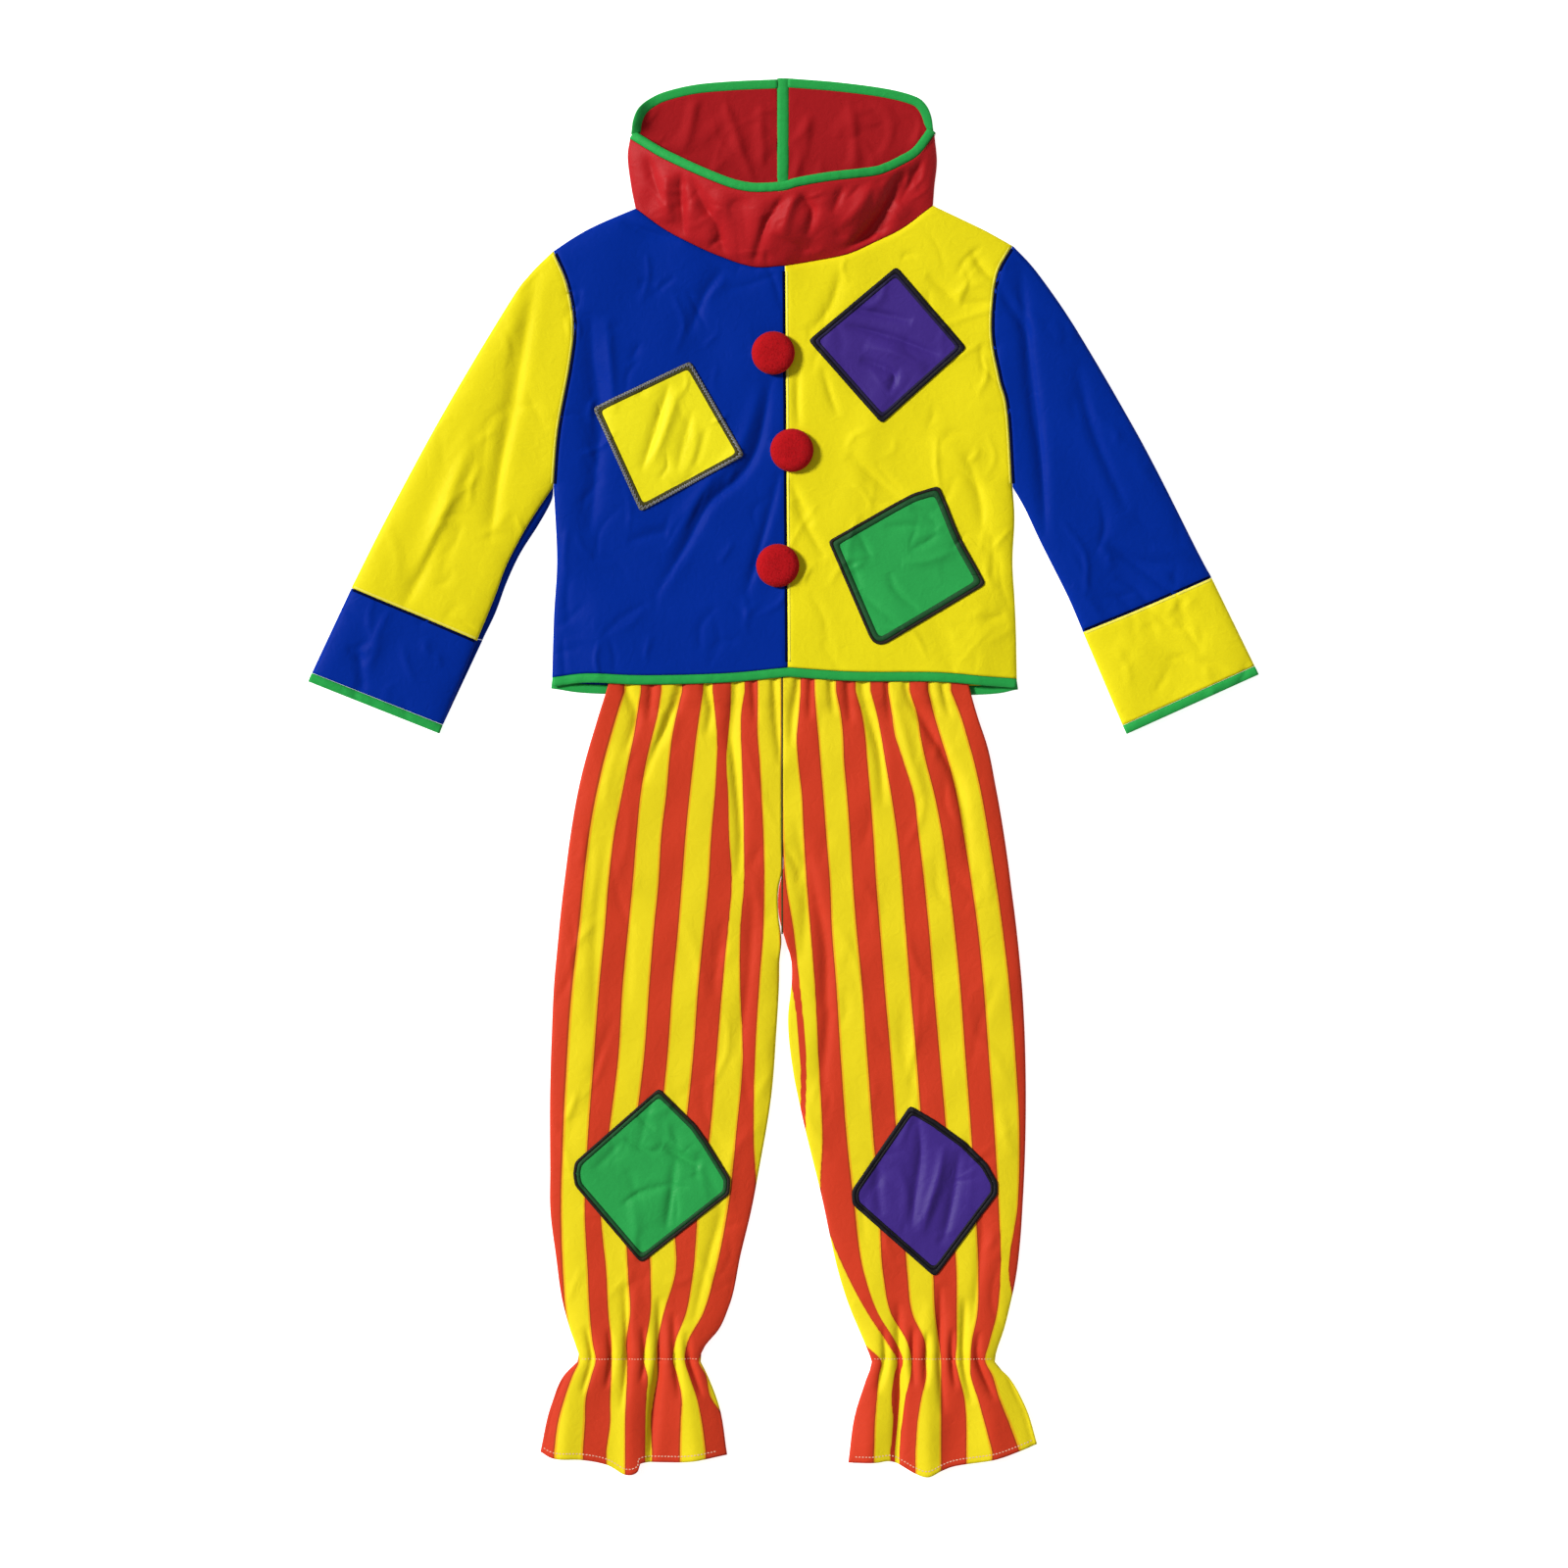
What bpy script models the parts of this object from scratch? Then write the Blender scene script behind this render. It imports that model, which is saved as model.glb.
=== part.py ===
"""Child's clown costume, laid flat: a long-sleeved top with a wide cowl collar, over striped trousers.

The cloth lies on its back. +Y runs towards the collar, +X towards the wearer's left sleeve and +Z up,
out of the front. Each piece of cloth is a thin closed wall over a grid of points. Back layers lie on
the ground and front layers lie on them. The trousers' waist is tucked between the two layers of the top.
Tables and sizes are in millimetres, and wall() turns them into metres.
"""

from collections import namedtuple

import bmesh
import bpy
import numpy as np
from mathutils.bvhtree import BVHTree

MM = 0.001

# Cloth and seams
CLOTH = 1.0
SEAM = 0.3
BINDING_WIDTH = 9.4
BINDING_WALL = 1.6
COLLAR_WALL = 1.3
FRONT_FLOOR = CLOTH + SEAM

# Heights of the soft loft inside the flat garment
TOP_LOFT = 3.2
TOP_REACH = 22
LEG_LOFT = 3.6
LEG_REACH = 34

# Waist of the trousers, tucked into the top
CASING_LOW = 124
CASING_HIGH = 149
CASING_WALL = 1.6
TUCK_START = 68
TUCK_END = 82
TUCK_BACK = CLOTH + SEAM
TUCK_FRONT = 2 * (CLOTH + SEAM)
GATHER_RISE = 4.4
GATHER_FADE = 70
GATHER_TOP = 97
GATHERS_A_LEG = 7
CASING_WAVE = 1.5
OVER_WAIST = TUCK_FRONT + GATHER_RISE + CLOTH + SEAM
WAIST_MIDDLE, WAIST_HALF = 5, 192
WAIST_FADE_UP, WAIST_FADE_ACROSS = 55, 32

# Crotch, ankles and hems
CROTCH_Y = -168
ANKLE_Y = -593
TUCKS_A_LEG = 6
TUCK_RISE = 4.5
TUCK_FADE = 42
RUFFLE_RISE = 4.5
RUFFLE_WAVES = 3
HEM_Y = -692

# Cowl collar: how high its front rim stands over the ground
COLLAR_RISE = 31
COLLAR_ROUND = 2.2

# Buttons
BUTTON_RADIUS = 22
BUTTON_HEIGHT = 11
BUTTON_SIDES = 24
BUTTON_RINGS = 6
RIM_SHARE, RIM_TURN, DOME_POWER = 0.22, 0.35, 0.6

Fold = namedtuple("Fold", "x0 y0 x1 y1 width height")
LegRow = namedtuple("LegRow", "y outer inner")
Patch = namedtuple("Patch", "name panel material corners")
Button = namedtuple("Button", "name x y")

# Outline of the top, (x, y). Sides run up from the hem, armholes up from the armpit
SIDE_RIGHT = [(-235.5, 102), (-235, 123), (-233.5, 168), (-230.5, 220), (-233, 278), (-234, 296)]
SIDE_LEFT = [(238.5, 100.6), (237.5, 150), (236, 183), (234, 220), (236, 263), (234, 296)]
ARMHOLE_RIGHT = [(-234, 296), (-229, 354), (-217, 420), (-213, 462), (-220, 503), (-234, 536.5)]
ARMHOLE_LEFT = [(234, 296), (229, 374), (221, 407), (213, 455), (218, 510), (234, 542)]
SHOULDER_RIGHT = [(-234, 536.5), (-212, 551), (-190, 563), (-150.5, 580)]
SHOULDER_LEFT = [(234, 542), (205, 558), (175, 572.5), (153, 583)]
NECK_RIGHT = [(-150.5, 580), (-122.5, 559.5), (-97, 545.5), (-66, 531.5), (-30, 520), (2, 521)]
NECK_LEFT = [(153, 583), (122, 559.5), (94, 545.5), (66, 533), (31, 526), (2, 521)]
BACK_NECK_RIGHT = [(-150.5, 580), (-75, 571), (2, 568)]
BACK_NECK_LEFT = [(153, 583), (75, 571.5), (2, 568)]
CENTRE = [(4.8, 112), (2, 521)]
BACK_CENTRE = [(2, 93), (2, 568)]
HEM_RIGHT = [(-235.5, 102), (-199, 106), (-143, 104), (-60, 106), (4.8, 112)]
HEM_LEFT = [(238.5, 100.6), (205, 103), (155.5, 107), (73, 107.6), (4.8, 112)]
BACK_HEM_RIGHT = [(-235.5, 100), (-181, 94.5), (2, 93)]
BACK_HEM_LEFT = [(238.5, 99), (192, 93.5), (2, 93)]

# Sleeves. The right one's back layer shows as a strip past the front one's inner edge
OUTER_RIGHT = [(-234, 536.5), (-257.5, 513), (-279.5, 483), (-343, 377), (-399.5, 273), (-440, 193)]
OUTER_LEFT = [(234, 542), (260, 513), (301, 453), (367, 339), (423.5, 228), (437, 203.5)]
INNER_RIGHT = [(-234, 296), (-253, 268), (-268, 243), (-283, 213), (-294, 183), (-312, 139)]
INNER_RIGHT_BACK = [(-234, 296), (-236, 282), (-249, 258), (-268, 228), (-282, 198), (-293, 168),
                    (-306.5, 140)]
INNER_LEFT = [(234, 296), (247, 273), (261, 243), (276, 213), (291, 183), (306, 148)]
CUFF_SEAM_RIGHT = [(-440, 193), (-409.5, 180), (-366, 162), (-312, 139)]
CUFF_SEAM_LEFT = [(437, 203.5), (388, 182), (355, 168), (306, 148)]
CUFF_HEM_RIGHT = [(-480.5, 106.5), (-347, 53.5)]
CUFF_HEM_LEFT = [(481, 113.5), (346.5, 52.8)]

# Collar. The front rim is the middle of its binding, the back rim is its outer edge
COLLAR_SIDE_RIGHT = [(-150.5, 580), (-155, 603), (-158.5, 632), (-156, 652)]
COLLAR_SIDE_LEFT = [(153, 583), (154.5, 603), (157, 628), (154.5, 655)]
FRONT_RIM = [(-154, 655.5), (-135, 643), (-120, 634), (-90, 619), (-60, 606), (-42, 600.5), (-25, 598.5),
             (0, 600), (15, 604), (45, 609.5), (90, 615.5), (105, 620), (120, 627.5), (136, 638), (152, 660)]
BACK_RIM_RIGHT = [(-155, 656), (-152.5, 670), (-147, 682), (-136, 692), (-120, 699.5), (-90, 706.5),
                  (-52, 710), (-6.4, 712)]
BACK_RIM_LEFT = [(153.5, 659), (151, 675), (145, 687), (134, 695), (105, 702.5), (56, 709), (6, 713)]
OPENING_HALF = 6.2

# Legs: a row for each section, waist to hem
RIGHT_LEG = [
    LegRow(124, -171, -1.2), LegRow(97, -177.5, -1.2), LegRow(60, -189, -1.2), LegRow(4, -205, -1.2),
    LegRow(-67, -218, -1.2), LegRow(-94, -221.5, -0.4), LegRow(-114, -224, -4.8),
    LegRow(-140, -227, -4.8), LegRow(-168, -229.7, -1.6), LegRow(-187, -231.5, -3.6),
    LegRow(-203, -233, -3.8), LegRow(-263, -236, -7),
    LegRow(-317, -237.6, -11), LegRow(-403, -237.6, -25), LegRow(-440, -237.5, -32),
    LegRow(-486, -232, -43), LegRow(-541, -223.5, -55.5), LegRow(-564, -217, -66),
    LegRow(-581, -211, -80), LegRow(-593, -208, -84.5), LegRow(-609, -222.5, -77.5),
    LegRow(-641, -236, -65.5), LegRow(-692, -247.5, -57),
]
LEFT_LEG = [
    LegRow(124, 182, -0.8), LegRow(97, 188.5, -0.8), LegRow(60, 199, -0.8), LegRow(33, 208, -0.8),
    LegRow(-10, 217, -0.8), LegRow(-69, 227, -0.8), LegRow(-94, 230.5, 0), LegRow(-114, 233, -4.4),
    LegRow(-140, 236.4, -4.4), LegRow(-168, 239.6, 2.9), LegRow(-187, 241.5, 8.4),
    LegRow(-203, 243, 9), LegRow(-246, 245.8, 5), LegRow(-299, 247.5, 10),
    LegRow(-348, 247.6, 20), LegRow(-435, 244.5, 41), LegRow(-478, 241.5, 50), LegRow(-507, 238, 57),
    LegRow(-541, 231, 68), LegRow(-566, 224.5, 78.5), LegRow(-585, 218, 86.5), LegRow(-596, 216, 90.5),
    LegRow(-613, 230, 85), LegRow(-646, 246, 73.5), LegRow(-692, 259, 66.5),
]
HEM_LINE_RIGHT = [(-247.5, -688), (-233, -695), (-205, -696), (-180, -701), (-161, -711),
                  (-148.5, -708.5), (-143, -699), (-97, -698), (-57, -691)]
HEM_LINE_LEFT = [(66, -699), (93.5, -699), (112, -698), (135, -710), (148, -713.4), (162, -707),
                 (177, -702), (215, -696), (242, -687), (259, -680)]
LEG_LEVELS = [124, 104, 84, 64, 40, 10, -30, -70, -94, -114, -140, -168, -187, -215, -270, -330, -390,
              -445, -490, -528, -555, -575, -593, -609, -630, -658, -692]

# Largest folds: from one end to the other, then how wide and how high, with troughs below nought
FRONT_FOLDS = [
    Fold(-202, 450, -201, 250, 11, -2.2), Fold(-14, 394, -78, 274, 10, -2.4),
    Fold(-90, 250, -128, 180, 10, 1.8), Fold(-3, 305, -38, 185, 11, 2.0),
    Fold(-159, 565, -105, 548, 9, -2.0), Fold(195, 525, 175, 480, 9, 2.0),
    Fold(120, 470, 60, 250, 14, 1.6), Fold(150, 350, 205, 300, 10, 1.8),
    Fold(160, 160, 215, 175, 10, -2.0), Fold(14, 290, 38, 225, 9, 1.8),
]
SLEEVE_FOLDS = [
    Fold(-247, 493, -286, 320, 9, -2.4), Fold(-320, 337, -373, 208, 10, 1.8),
    Fold(-400, 160, -440, 90, 10, 1.6), Fold(244, 510, 265, 300, 10, -2.6),
    Fold(230, 480, 300, 420, 10, 2.0), Fold(300, 380, 350, 250, 11, 1.8),
    Fold(340, 140, 400, 110, 10, 1.8),
]
COLLAR_FOLDS = [
    Fold(-102, 611, -102, 547, 8, -3.0), Fold(-80, 590, -62, 540, 8, -3.0),
    Fold(-5, 590, -36, 529, 8, -3.5), Fold(18, 595, 31, 554, 7, -3.0),
    Fold(130, 623, 112, 575, 8, -5.0), Fold(84, 560, 60, 534, 7, -3.0),
]
BACK_COLLAR_FOLDS = [
    Fold(-87, 703, -87, 626, 8, 1.0), Fold(-64, 687, -46, 613, 8, 0.9),
    Fold(23, 674, 13, 611, 7, 1.0), Fold(97, 682, 105, 626, 9, 1.0),
]
LEG_FOLDS = [
    Fold(-126, 124, -134, -45, 10, -2.6), Fold(-46, 124, -40, -50, 9, -2.6),
    Fold(92, 124, 104, -70, 10, -2.6), Fold(140, 124, 184, -70, 10, -2.6),
    Fold(35, -121, 42, -320, 10, -2.4), Fold(-190, -80, -200, -300, 14, 1.6),
    Fold(-150, -520, -160, -575, 8, 2.0), Fold(150, -530, 145, -575, 8, 2.0),
]

BUTTONS = [
    Button("button_top", -10, 432), Button("button_middle", 9, 333), Button("button_low", -5.4, 215.5),
]
PATCHES = [
    Patch("patch_chest_yellow", "front_right", "patch_yellow",
          [(-194, 376.5), (-145.5, 270), (-39, 327.5), (-94.5, 424)]),
    Patch("patch_chest_purple", "front_left", "patch_purple",
          [(116, 520.5), (25.6, 445), (100.6, 360), (187, 437)]),
    Patch("patch_chest_green", "front_left", "patch_green",
          [(46, 240.5), (88, 143), (92, 137), (98, 134.5), (105, 136), (207, 196.5), (159, 297.5),
           (132, 289), (116, 280.5)]),
    Patch("patch_knee_green", "leg_right_front", "patch_green",
          [(-126.5, -317), (-212, -392), (-214, -404), (-212, -416.5), (-144.5, -495.5), (-54.5, -425),
           (-53.5, -409), (-77, -371), (-89, -354)]),
    Patch("patch_knee_purple", "leg_left_front", "patch_purple",
          [(129.5, -334.5), (70, -421), (70.5, -435.5), (155, -510), (218.5, -425), (218.5, -413),
           (208, -394), (185.5, -371.5), (155, -349.5)]),
]

# Colour, roughness
FINISHES = {
    "blue": ((0.002, 0.022, 0.31), 0.45),
    "yellow": ((0.86, 0.76, 0.012), 0.5),
    "red_satin": ((0.58, 0.016, 0.022), 0.38),
    "green_binding": ((0.022, 0.37, 0.075), 0.55),
    "patch_yellow": ((0.86, 0.78, 0.02), 0.5),
    "patch_purple": ((0.07, 0.026, 0.30), 0.42),
    "patch_green": ((0.022, 0.37, 0.09), 0.42),
    "stripes": ((0.66, 0.10, 0.02), 0.6),
    "button_red": ((0.52, 0.006, 0.016), 0.85),
}

COLUMNS_SHOULDER, COLUMNS_NECK = 5, 10
ROWS_SIDE, ROWS_ARMHOLE = 7, 9
SLEEVE_COLUMNS, SLEEVE_ROWS, CUFF_ROWS = ROWS_ARMHOLE, 12, 3
COLLAR_ROWS = 7
LEG_COLUMNS = 22
LEG_BACK_COLUMNS = 12


def clear_scene():
    for thing in list(bpy.data.objects):
        bpy.data.objects.remove(thing, do_unlink=True)


def material(name):
    found = bpy.data.materials.get(name)
    if found:
        return found
    colour, roughness = FINISHES[name]
    made = bpy.data.materials.new(name)
    made.use_nodes = True
    shader = made.node_tree.nodes["Principled BSDF"]
    shader.inputs["Base Color"].default_value = (*colour, 1)
    shader.inputs["Roughness"].default_value = roughness
    shader.inputs["Metallic"].default_value = 0
    return made


# Curves and grids

def spline(points, steps=10):
    """Smooth curve through the points, as a dense row of points."""
    points = np.array(points, float)
    if len(points) < 3:
        return points
    padded = np.vstack([2 * points[0] - points[1], points, 2 * points[-1] - points[-2]])
    t = np.linspace(0, 1, steps, endpoint=False)[:, None]
    pieces = []
    for a, b, c, d in zip(padded, padded[1:], padded[2:], padded[3:]):
        bend = (2 * a - 5 * b + 4 * c - d) * t**2 + (3 * b - 3 * c + d - a) * t**3
        pieces.append(0.5 * (2 * b + (c - a) * t + bend))
    return np.vstack(pieces + [points[-1:]])


def edge(points, count):
    """The curve through the points, cut into count equal lengths."""
    line = spline(points)
    along = np.concatenate([[0], np.cumsum(np.hypot(*np.diff(line, axis=0).T))])
    at = np.linspace(0, along[-1], count + 1)
    return np.column_stack([np.interp(at, along, line[:, 0]), np.interp(at, along, line[:, 1])])


def join(*edges):
    """Edges that follow each other, as one."""
    return np.vstack([edges[0]] + [e[1:] for e in edges[1:]])


def beside(line, width):
    """The line moved sideways, to the left of its own direction for a positive width."""
    along = np.gradient(line, axis=0)
    along /= np.hypot(along[:, 0], along[:, 1])[:, None]
    return line + width * np.column_stack([-along[:, 1], along[:, 0]])


def coons(bottom, top, left, right):
    """Grid of points between four edges. bottom and top run the same way, and left and right run up."""
    u = np.linspace(0, 1, len(bottom))[None, :, None]
    v = np.linspace(0, 1, len(left))[:, None, None]
    across = (1 - v) * bottom[None] + v * top[None]
    upward = (1 - u) * left[:, None] + u * right[:, None]
    corners = (1 - v) * ((1 - u) * bottom[0] + u * bottom[-1]) + v * ((1 - u) * top[0] + u * top[-1])
    return across + upward - corners


def through_rows(ys, values, at):
    """Smooth values at any height between the rows of a table."""
    order = np.argsort(ys)
    ys, values = np.array(ys, float)[order], np.array(values, float)[order]
    slopes = np.gradient(values, ys)
    i = np.clip(np.searchsorted(ys, at) - 1, 0, len(ys) - 2)
    step = ys[i + 1] - ys[i]
    t = np.clip((at - ys[i]) / step, 0, 1)
    start = values[i] * (1 + 2 * t) * (1 - t) ** 2 + slopes[i] * step * t * (1 - t) ** 2
    end = values[i + 1] * t**2 * (3 - 2 * t) + slopes[i + 1] * step * t**2 * (t - 1)
    return start + end


def ease(t):
    t = np.clip(t, 0, 1)
    return t * t * (3 - 2 * t)


# Heights of the cloth over the ground

def fold_height(x, y, folds):
    """Sum of the soft ridges and troughs of a table, each fading out at its two ends."""
    total = np.zeros_like(x)
    for fold in folds:
        dx, dy = fold.x1 - fold.x0, fold.y1 - fold.y0
        length = np.hypot(dx, dy)
        t = np.clip(((x - fold.x0) * dx + (y - fold.y0) * dy) / length**2, 0, 1)
        away = ((x - fold.x0) * dy - (y - fold.y0) * dx) / length
        total += fold.height * np.sin(np.pi * t) ** 0.7 * np.exp(-((away / fold.width) ** 2))
    return total


def edge_distance(x, y, lines):
    """How far each point is from the nearest of the lines."""
    nearest = np.full(x.shape, np.inf)
    for line in lines:
        for (ax, ay), (bx, by) in zip(line, line[1:]):
            dx, dy = bx - ax, by - ay
            t = np.clip(((x - ax) * dx + (y - ay) * dy) / (dx * dx + dy * dy + 1e-9), 0, 1)
            nearest = np.minimum(nearest, np.hypot(x - ax - t * dx, y - ay - t * dy))
    return nearest


def loft(x, y, lines, reach):
    """Quarter round from the folded edge of the garment, 0 at the edge and 1 past its reach."""
    t = np.clip(edge_distance(x, y, lines) / reach, 0, 1)
    return np.sqrt(1 - (1 - t) ** 2)


def top_edges():
    return [
        join(edge(SIDE_RIGHT, 6), edge(INNER_RIGHT, 6), edge([INNER_RIGHT[-1], CUFF_HEM_RIGHT[1]], 2)),
        join(edge(SIDE_LEFT, 6), edge(INNER_LEFT, 6), edge([INNER_LEFT[-1], CUFF_HEM_LEFT[1]], 2)),
        join(edge(OUTER_RIGHT, 6), edge([OUTER_RIGHT[-1], CUFF_HEM_RIGHT[0]], 2)),
        join(edge(OUTER_LEFT, 6), edge([OUTER_LEFT[-1], CUFF_HEM_LEFT[0]], 2)),
        join(edge(SHOULDER_RIGHT, 2), edge(COLLAR_SIDE_RIGHT, 3)),
        join(edge(SHOULDER_LEFT, 2), edge(COLLAR_SIDE_LEFT, 3)),
    ]


def over_waist(x, y):
    """1 where the top's front lies over the tucked waist, fading to 0 past it."""
    upward = 1 - ease((y - CASING_HIGH - 8) / WAIST_FADE_UP)
    sideways = 1 - ease((np.abs(x - WAIST_MIDDLE) - WAIST_HALF) / WAIST_FADE_ACROSS)
    return upward * sideways


def top_front_height(x, y):
    floor = FRONT_FLOOR + (OVER_WAIST - FRONT_FLOOR) * over_waist(x, y)
    soft = TOP_LOFT * loft(x, y, top_edges(), TOP_REACH) * (1 - 0.8 * over_waist(x, y))
    return np.maximum(floor + soft + fold_height(x, y, FRONT_FOLDS + SLEEVE_FOLDS), floor)


def back_leg_height(x, y):
    """The trousers' back steps up over the top's back hem."""
    return TUCK_BACK * ease((y - TUCK_START) / (TUCK_END - TUCK_START))


def front_leg_height(x, y, across, edges):
    """across runs from 0 to 1 over the leg's width, so that gathers and tucks follow the cloth."""
    tucked = ease((y - TUCK_START) / (TUCK_END - TUCK_START))
    floor = FRONT_FLOOR + (TUCK_FRONT - FRONT_FLOOR) * tucked
    soft = LEG_LOFT * loft(x, y, edges, LEG_REACH) * (1 - ease((y - 10) / 62))
    waist = GATHER_RISE * np.exp(-np.clip(GATHER_TOP - y, 0, None) / GATHER_FADE)
    waist = waist * (0.5 - 0.5 * np.cos(2 * np.pi * GATHERS_A_LEG * across))
    ankle = TUCK_RISE * np.exp(-np.abs(y - ANKLE_Y) / TUCK_FADE)
    ankle = ankle * (0.5 - 0.5 * np.cos(2 * np.pi * TUCKS_A_LEG * across))
    ruffle = RUFFLE_RISE * ease((ANKLE_Y - 8 - y) / 70)
    ruffle = ruffle * (0.5 - 0.5 * np.cos(2 * np.pi * RUFFLE_WAVES * across))
    height = floor + soft + waist + ankle + ruffle + fold_height(x, y, LEG_FOLDS)
    height = np.where(y > TUCK_START, np.minimum(height, floor + GATHER_RISE), height)
    return np.maximum(height, floor)


# Closed walls

def add_object(name, mesh_data, material_name):
    mesh = bpy.data.meshes.new(name)
    mesh_data.to_mesh(mesh)
    mesh_data.free()
    mesh.materials.append(material(material_name))
    made = bpy.data.objects.new(name, mesh)
    bpy.context.scene.collection.objects.link(made)
    return made


def wall(name, material_name, grid, low, thick):
    """Closed wall over a grid of (x, y) points, from the height low to low + thick."""
    rows, columns = grid.shape[:2]
    low = np.broadcast_to(low, (rows, columns))
    high = low + thick
    mesh_data = bmesh.new()
    layers = []
    for level in (low, high):
        layers.append([
            [mesh_data.verts.new((grid[r, c, 0] * MM, grid[r, c, 1] * MM, level[r, c] * MM))
             for c in range(columns)]
            for r in range(rows)
        ])
    under, over = layers
    for r in range(rows - 1):
        for c in range(columns - 1):
            for layer in layers:
                mesh_data.faces.new((layer[r][c], layer[r][c + 1], layer[r + 1][c + 1]))
                mesh_data.faces.new((layer[r][c], layer[r + 1][c + 1], layer[r + 1][c]))
    rim = [(0, c) for c in range(columns)] + [(r, columns - 1) for r in range(1, rows)]
    rim += [(rows - 1, c) for c in range(columns - 2, -1, -1)] + [(r, 0) for r in range(rows - 2, 0, -1)]
    for (r0, c0), (r1, c1) in zip(rim, rim[1:] + rim[:1]):
        mesh_data.faces.new((under[r0][c0], under[r1][c1], over[r1][c1], over[r0][c0]))
    bmesh.ops.recalc_face_normals(mesh_data, faces=mesh_data.faces)
    return add_object(name, mesh_data, material_name)


def strip(name, material_name, line, width, low, thick):
    """Binding along a line, to its left for a positive width."""
    grid = np.stack([line, beside(line, width)])
    return wall(name, material_name, grid, np.broadcast_to(low, grid.shape[:2]), thick)


# The top

def body_grid(hem, centre, neck, shoulder, side, armhole, seam):
    """Half of the top's body, from its hem up. seam moves its centre edge clear of the other half."""
    bottom = edge(hem, COLUMNS_SHOULDER + COLUMNS_NECK)
    top = join(edge(shoulder, COLUMNS_SHOULDER), edge(neck, COLUMNS_NECK))
    left = join(edge(side, ROWS_SIDE), edge(armhole, ROWS_ARMHOLE))
    right = edge(centre, ROWS_SIDE + ROWS_ARMHOLE)
    left[0], right[0], right[-1] = bottom[0], bottom[-1], top[-1]
    grid = coons(bottom, top, left, right)
    grid[:, -1, 0] += seam
    return grid


def make_body():
    halves = [
        ("right", "blue", HEM_RIGHT, BACK_HEM_RIGHT, NECK_RIGHT, BACK_NECK_RIGHT, SHOULDER_RIGHT,
         SIDE_RIGHT, ARMHOLE_RIGHT, -SEAM / 2),
        ("left", "yellow", HEM_LEFT, BACK_HEM_LEFT, NECK_LEFT, BACK_NECK_LEFT, SHOULDER_LEFT,
         SIDE_LEFT, ARMHOLE_LEFT, SEAM / 2),
    ]
    for side_name, colour, hem, back_hem, neck, back_neck, shoulder, side, armhole, seam in halves:
        front = body_grid(hem, CENTRE, neck, shoulder, side, armhole, seam)
        wall("front_" + side_name, colour, front, top_front_height(front[..., 0], front[..., 1]), CLOTH)
        back_side = [back_hem[0]] + side[1:]
        back = body_grid(back_hem, BACK_CENTRE, back_neck, shoulder, back_side, armhole, seam)
        wall("back_" + side_name, colour, back, 0, CLOTH)


def make_sleeve(side_name, colours, armhole, outer, inner, inner_back, cuff_seam, cuff_hem, outward):
    """Front and back layers of a sleeve and its cuff, with their bindings. outward is -1 on the right."""
    front_colour, back_colour, cuff_colour = colours
    shift = np.array([outward * SEAM, 0])
    top = edge(armhole, SLEEVE_COLUMNS)[::-1] + shift
    seam = edge(cuff_seam, SLEEVE_COLUMNS)
    down = (seam[-1] - seam[0])[::-1] * np.array([1, -1])
    down = -outward * SEAM * down / np.hypot(*down)
    for layer, colour, inner_edge in (("front", front_colour, inner), ("back", back_colour, inner_back)):
        low_edge = seam.copy()
        low_edge[-1] = inner_edge[-1]
        left = edge(outer, SLEEVE_ROWS)[::-1] + shift
        right = edge(inner_edge, SLEEVE_ROWS)[::-1] + shift
        left[0], right[0] = low_edge[0], low_edge[-1]
        grid = coons(low_edge, top, left, right)
        cuff_top = low_edge + down
        hem = edge(cuff_hem, SLEEVE_COLUMNS)
        cuff = coons(cuff_top, hem, edge([cuff_top[0], hem[0]], CUFF_ROWS),
                     edge([cuff_top[-1], hem[-1]], CUFF_ROWS))
        thick = BINDING_WALL if layer == "front" else CLOTH
        hem_line = hem + down
        place = f"{side_name}_{layer}"
        if layer == "front":
            heights = [top_front_height(g[..., 0], g[..., 1]) for g in (grid, cuff, hem_line)]
        else:
            heights = [0, 0, 0]
        wall("sleeve_" + place, colour, grid, heights[0], CLOTH)
        wall("cuff_" + place, cuff_colour, cuff, heights[1], CLOTH)
        strip("cuff_binding_" + place, "green_binding", hem_line, outward * BINDING_WIDTH, heights[2],
              thick)


def make_hem_bindings():
    columns = COLUMNS_SHOULDER + COLUMNS_NECK
    front = join(edge(HEM_RIGHT, columns), edge(HEM_LEFT, columns)[::-1])
    front[:, 1] -= SEAM
    height = top_front_height(front[:, 0], front[:, 1])
    strip("hem_binding_front", "green_binding", front, -BINDING_WIDTH, height, BINDING_WALL)
    back = join(edge(BACK_HEM_RIGHT, columns), edge(BACK_HEM_LEFT, columns)[::-1])
    back[:, 1] -= SEAM
    strip("hem_binding_back", "green_binding", back, -BINDING_WIDTH, 0, CLOTH)


# The collar

def collar_rise(across):
    return COLLAR_RISE * np.sin(np.pi * across) ** 0.85


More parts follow.
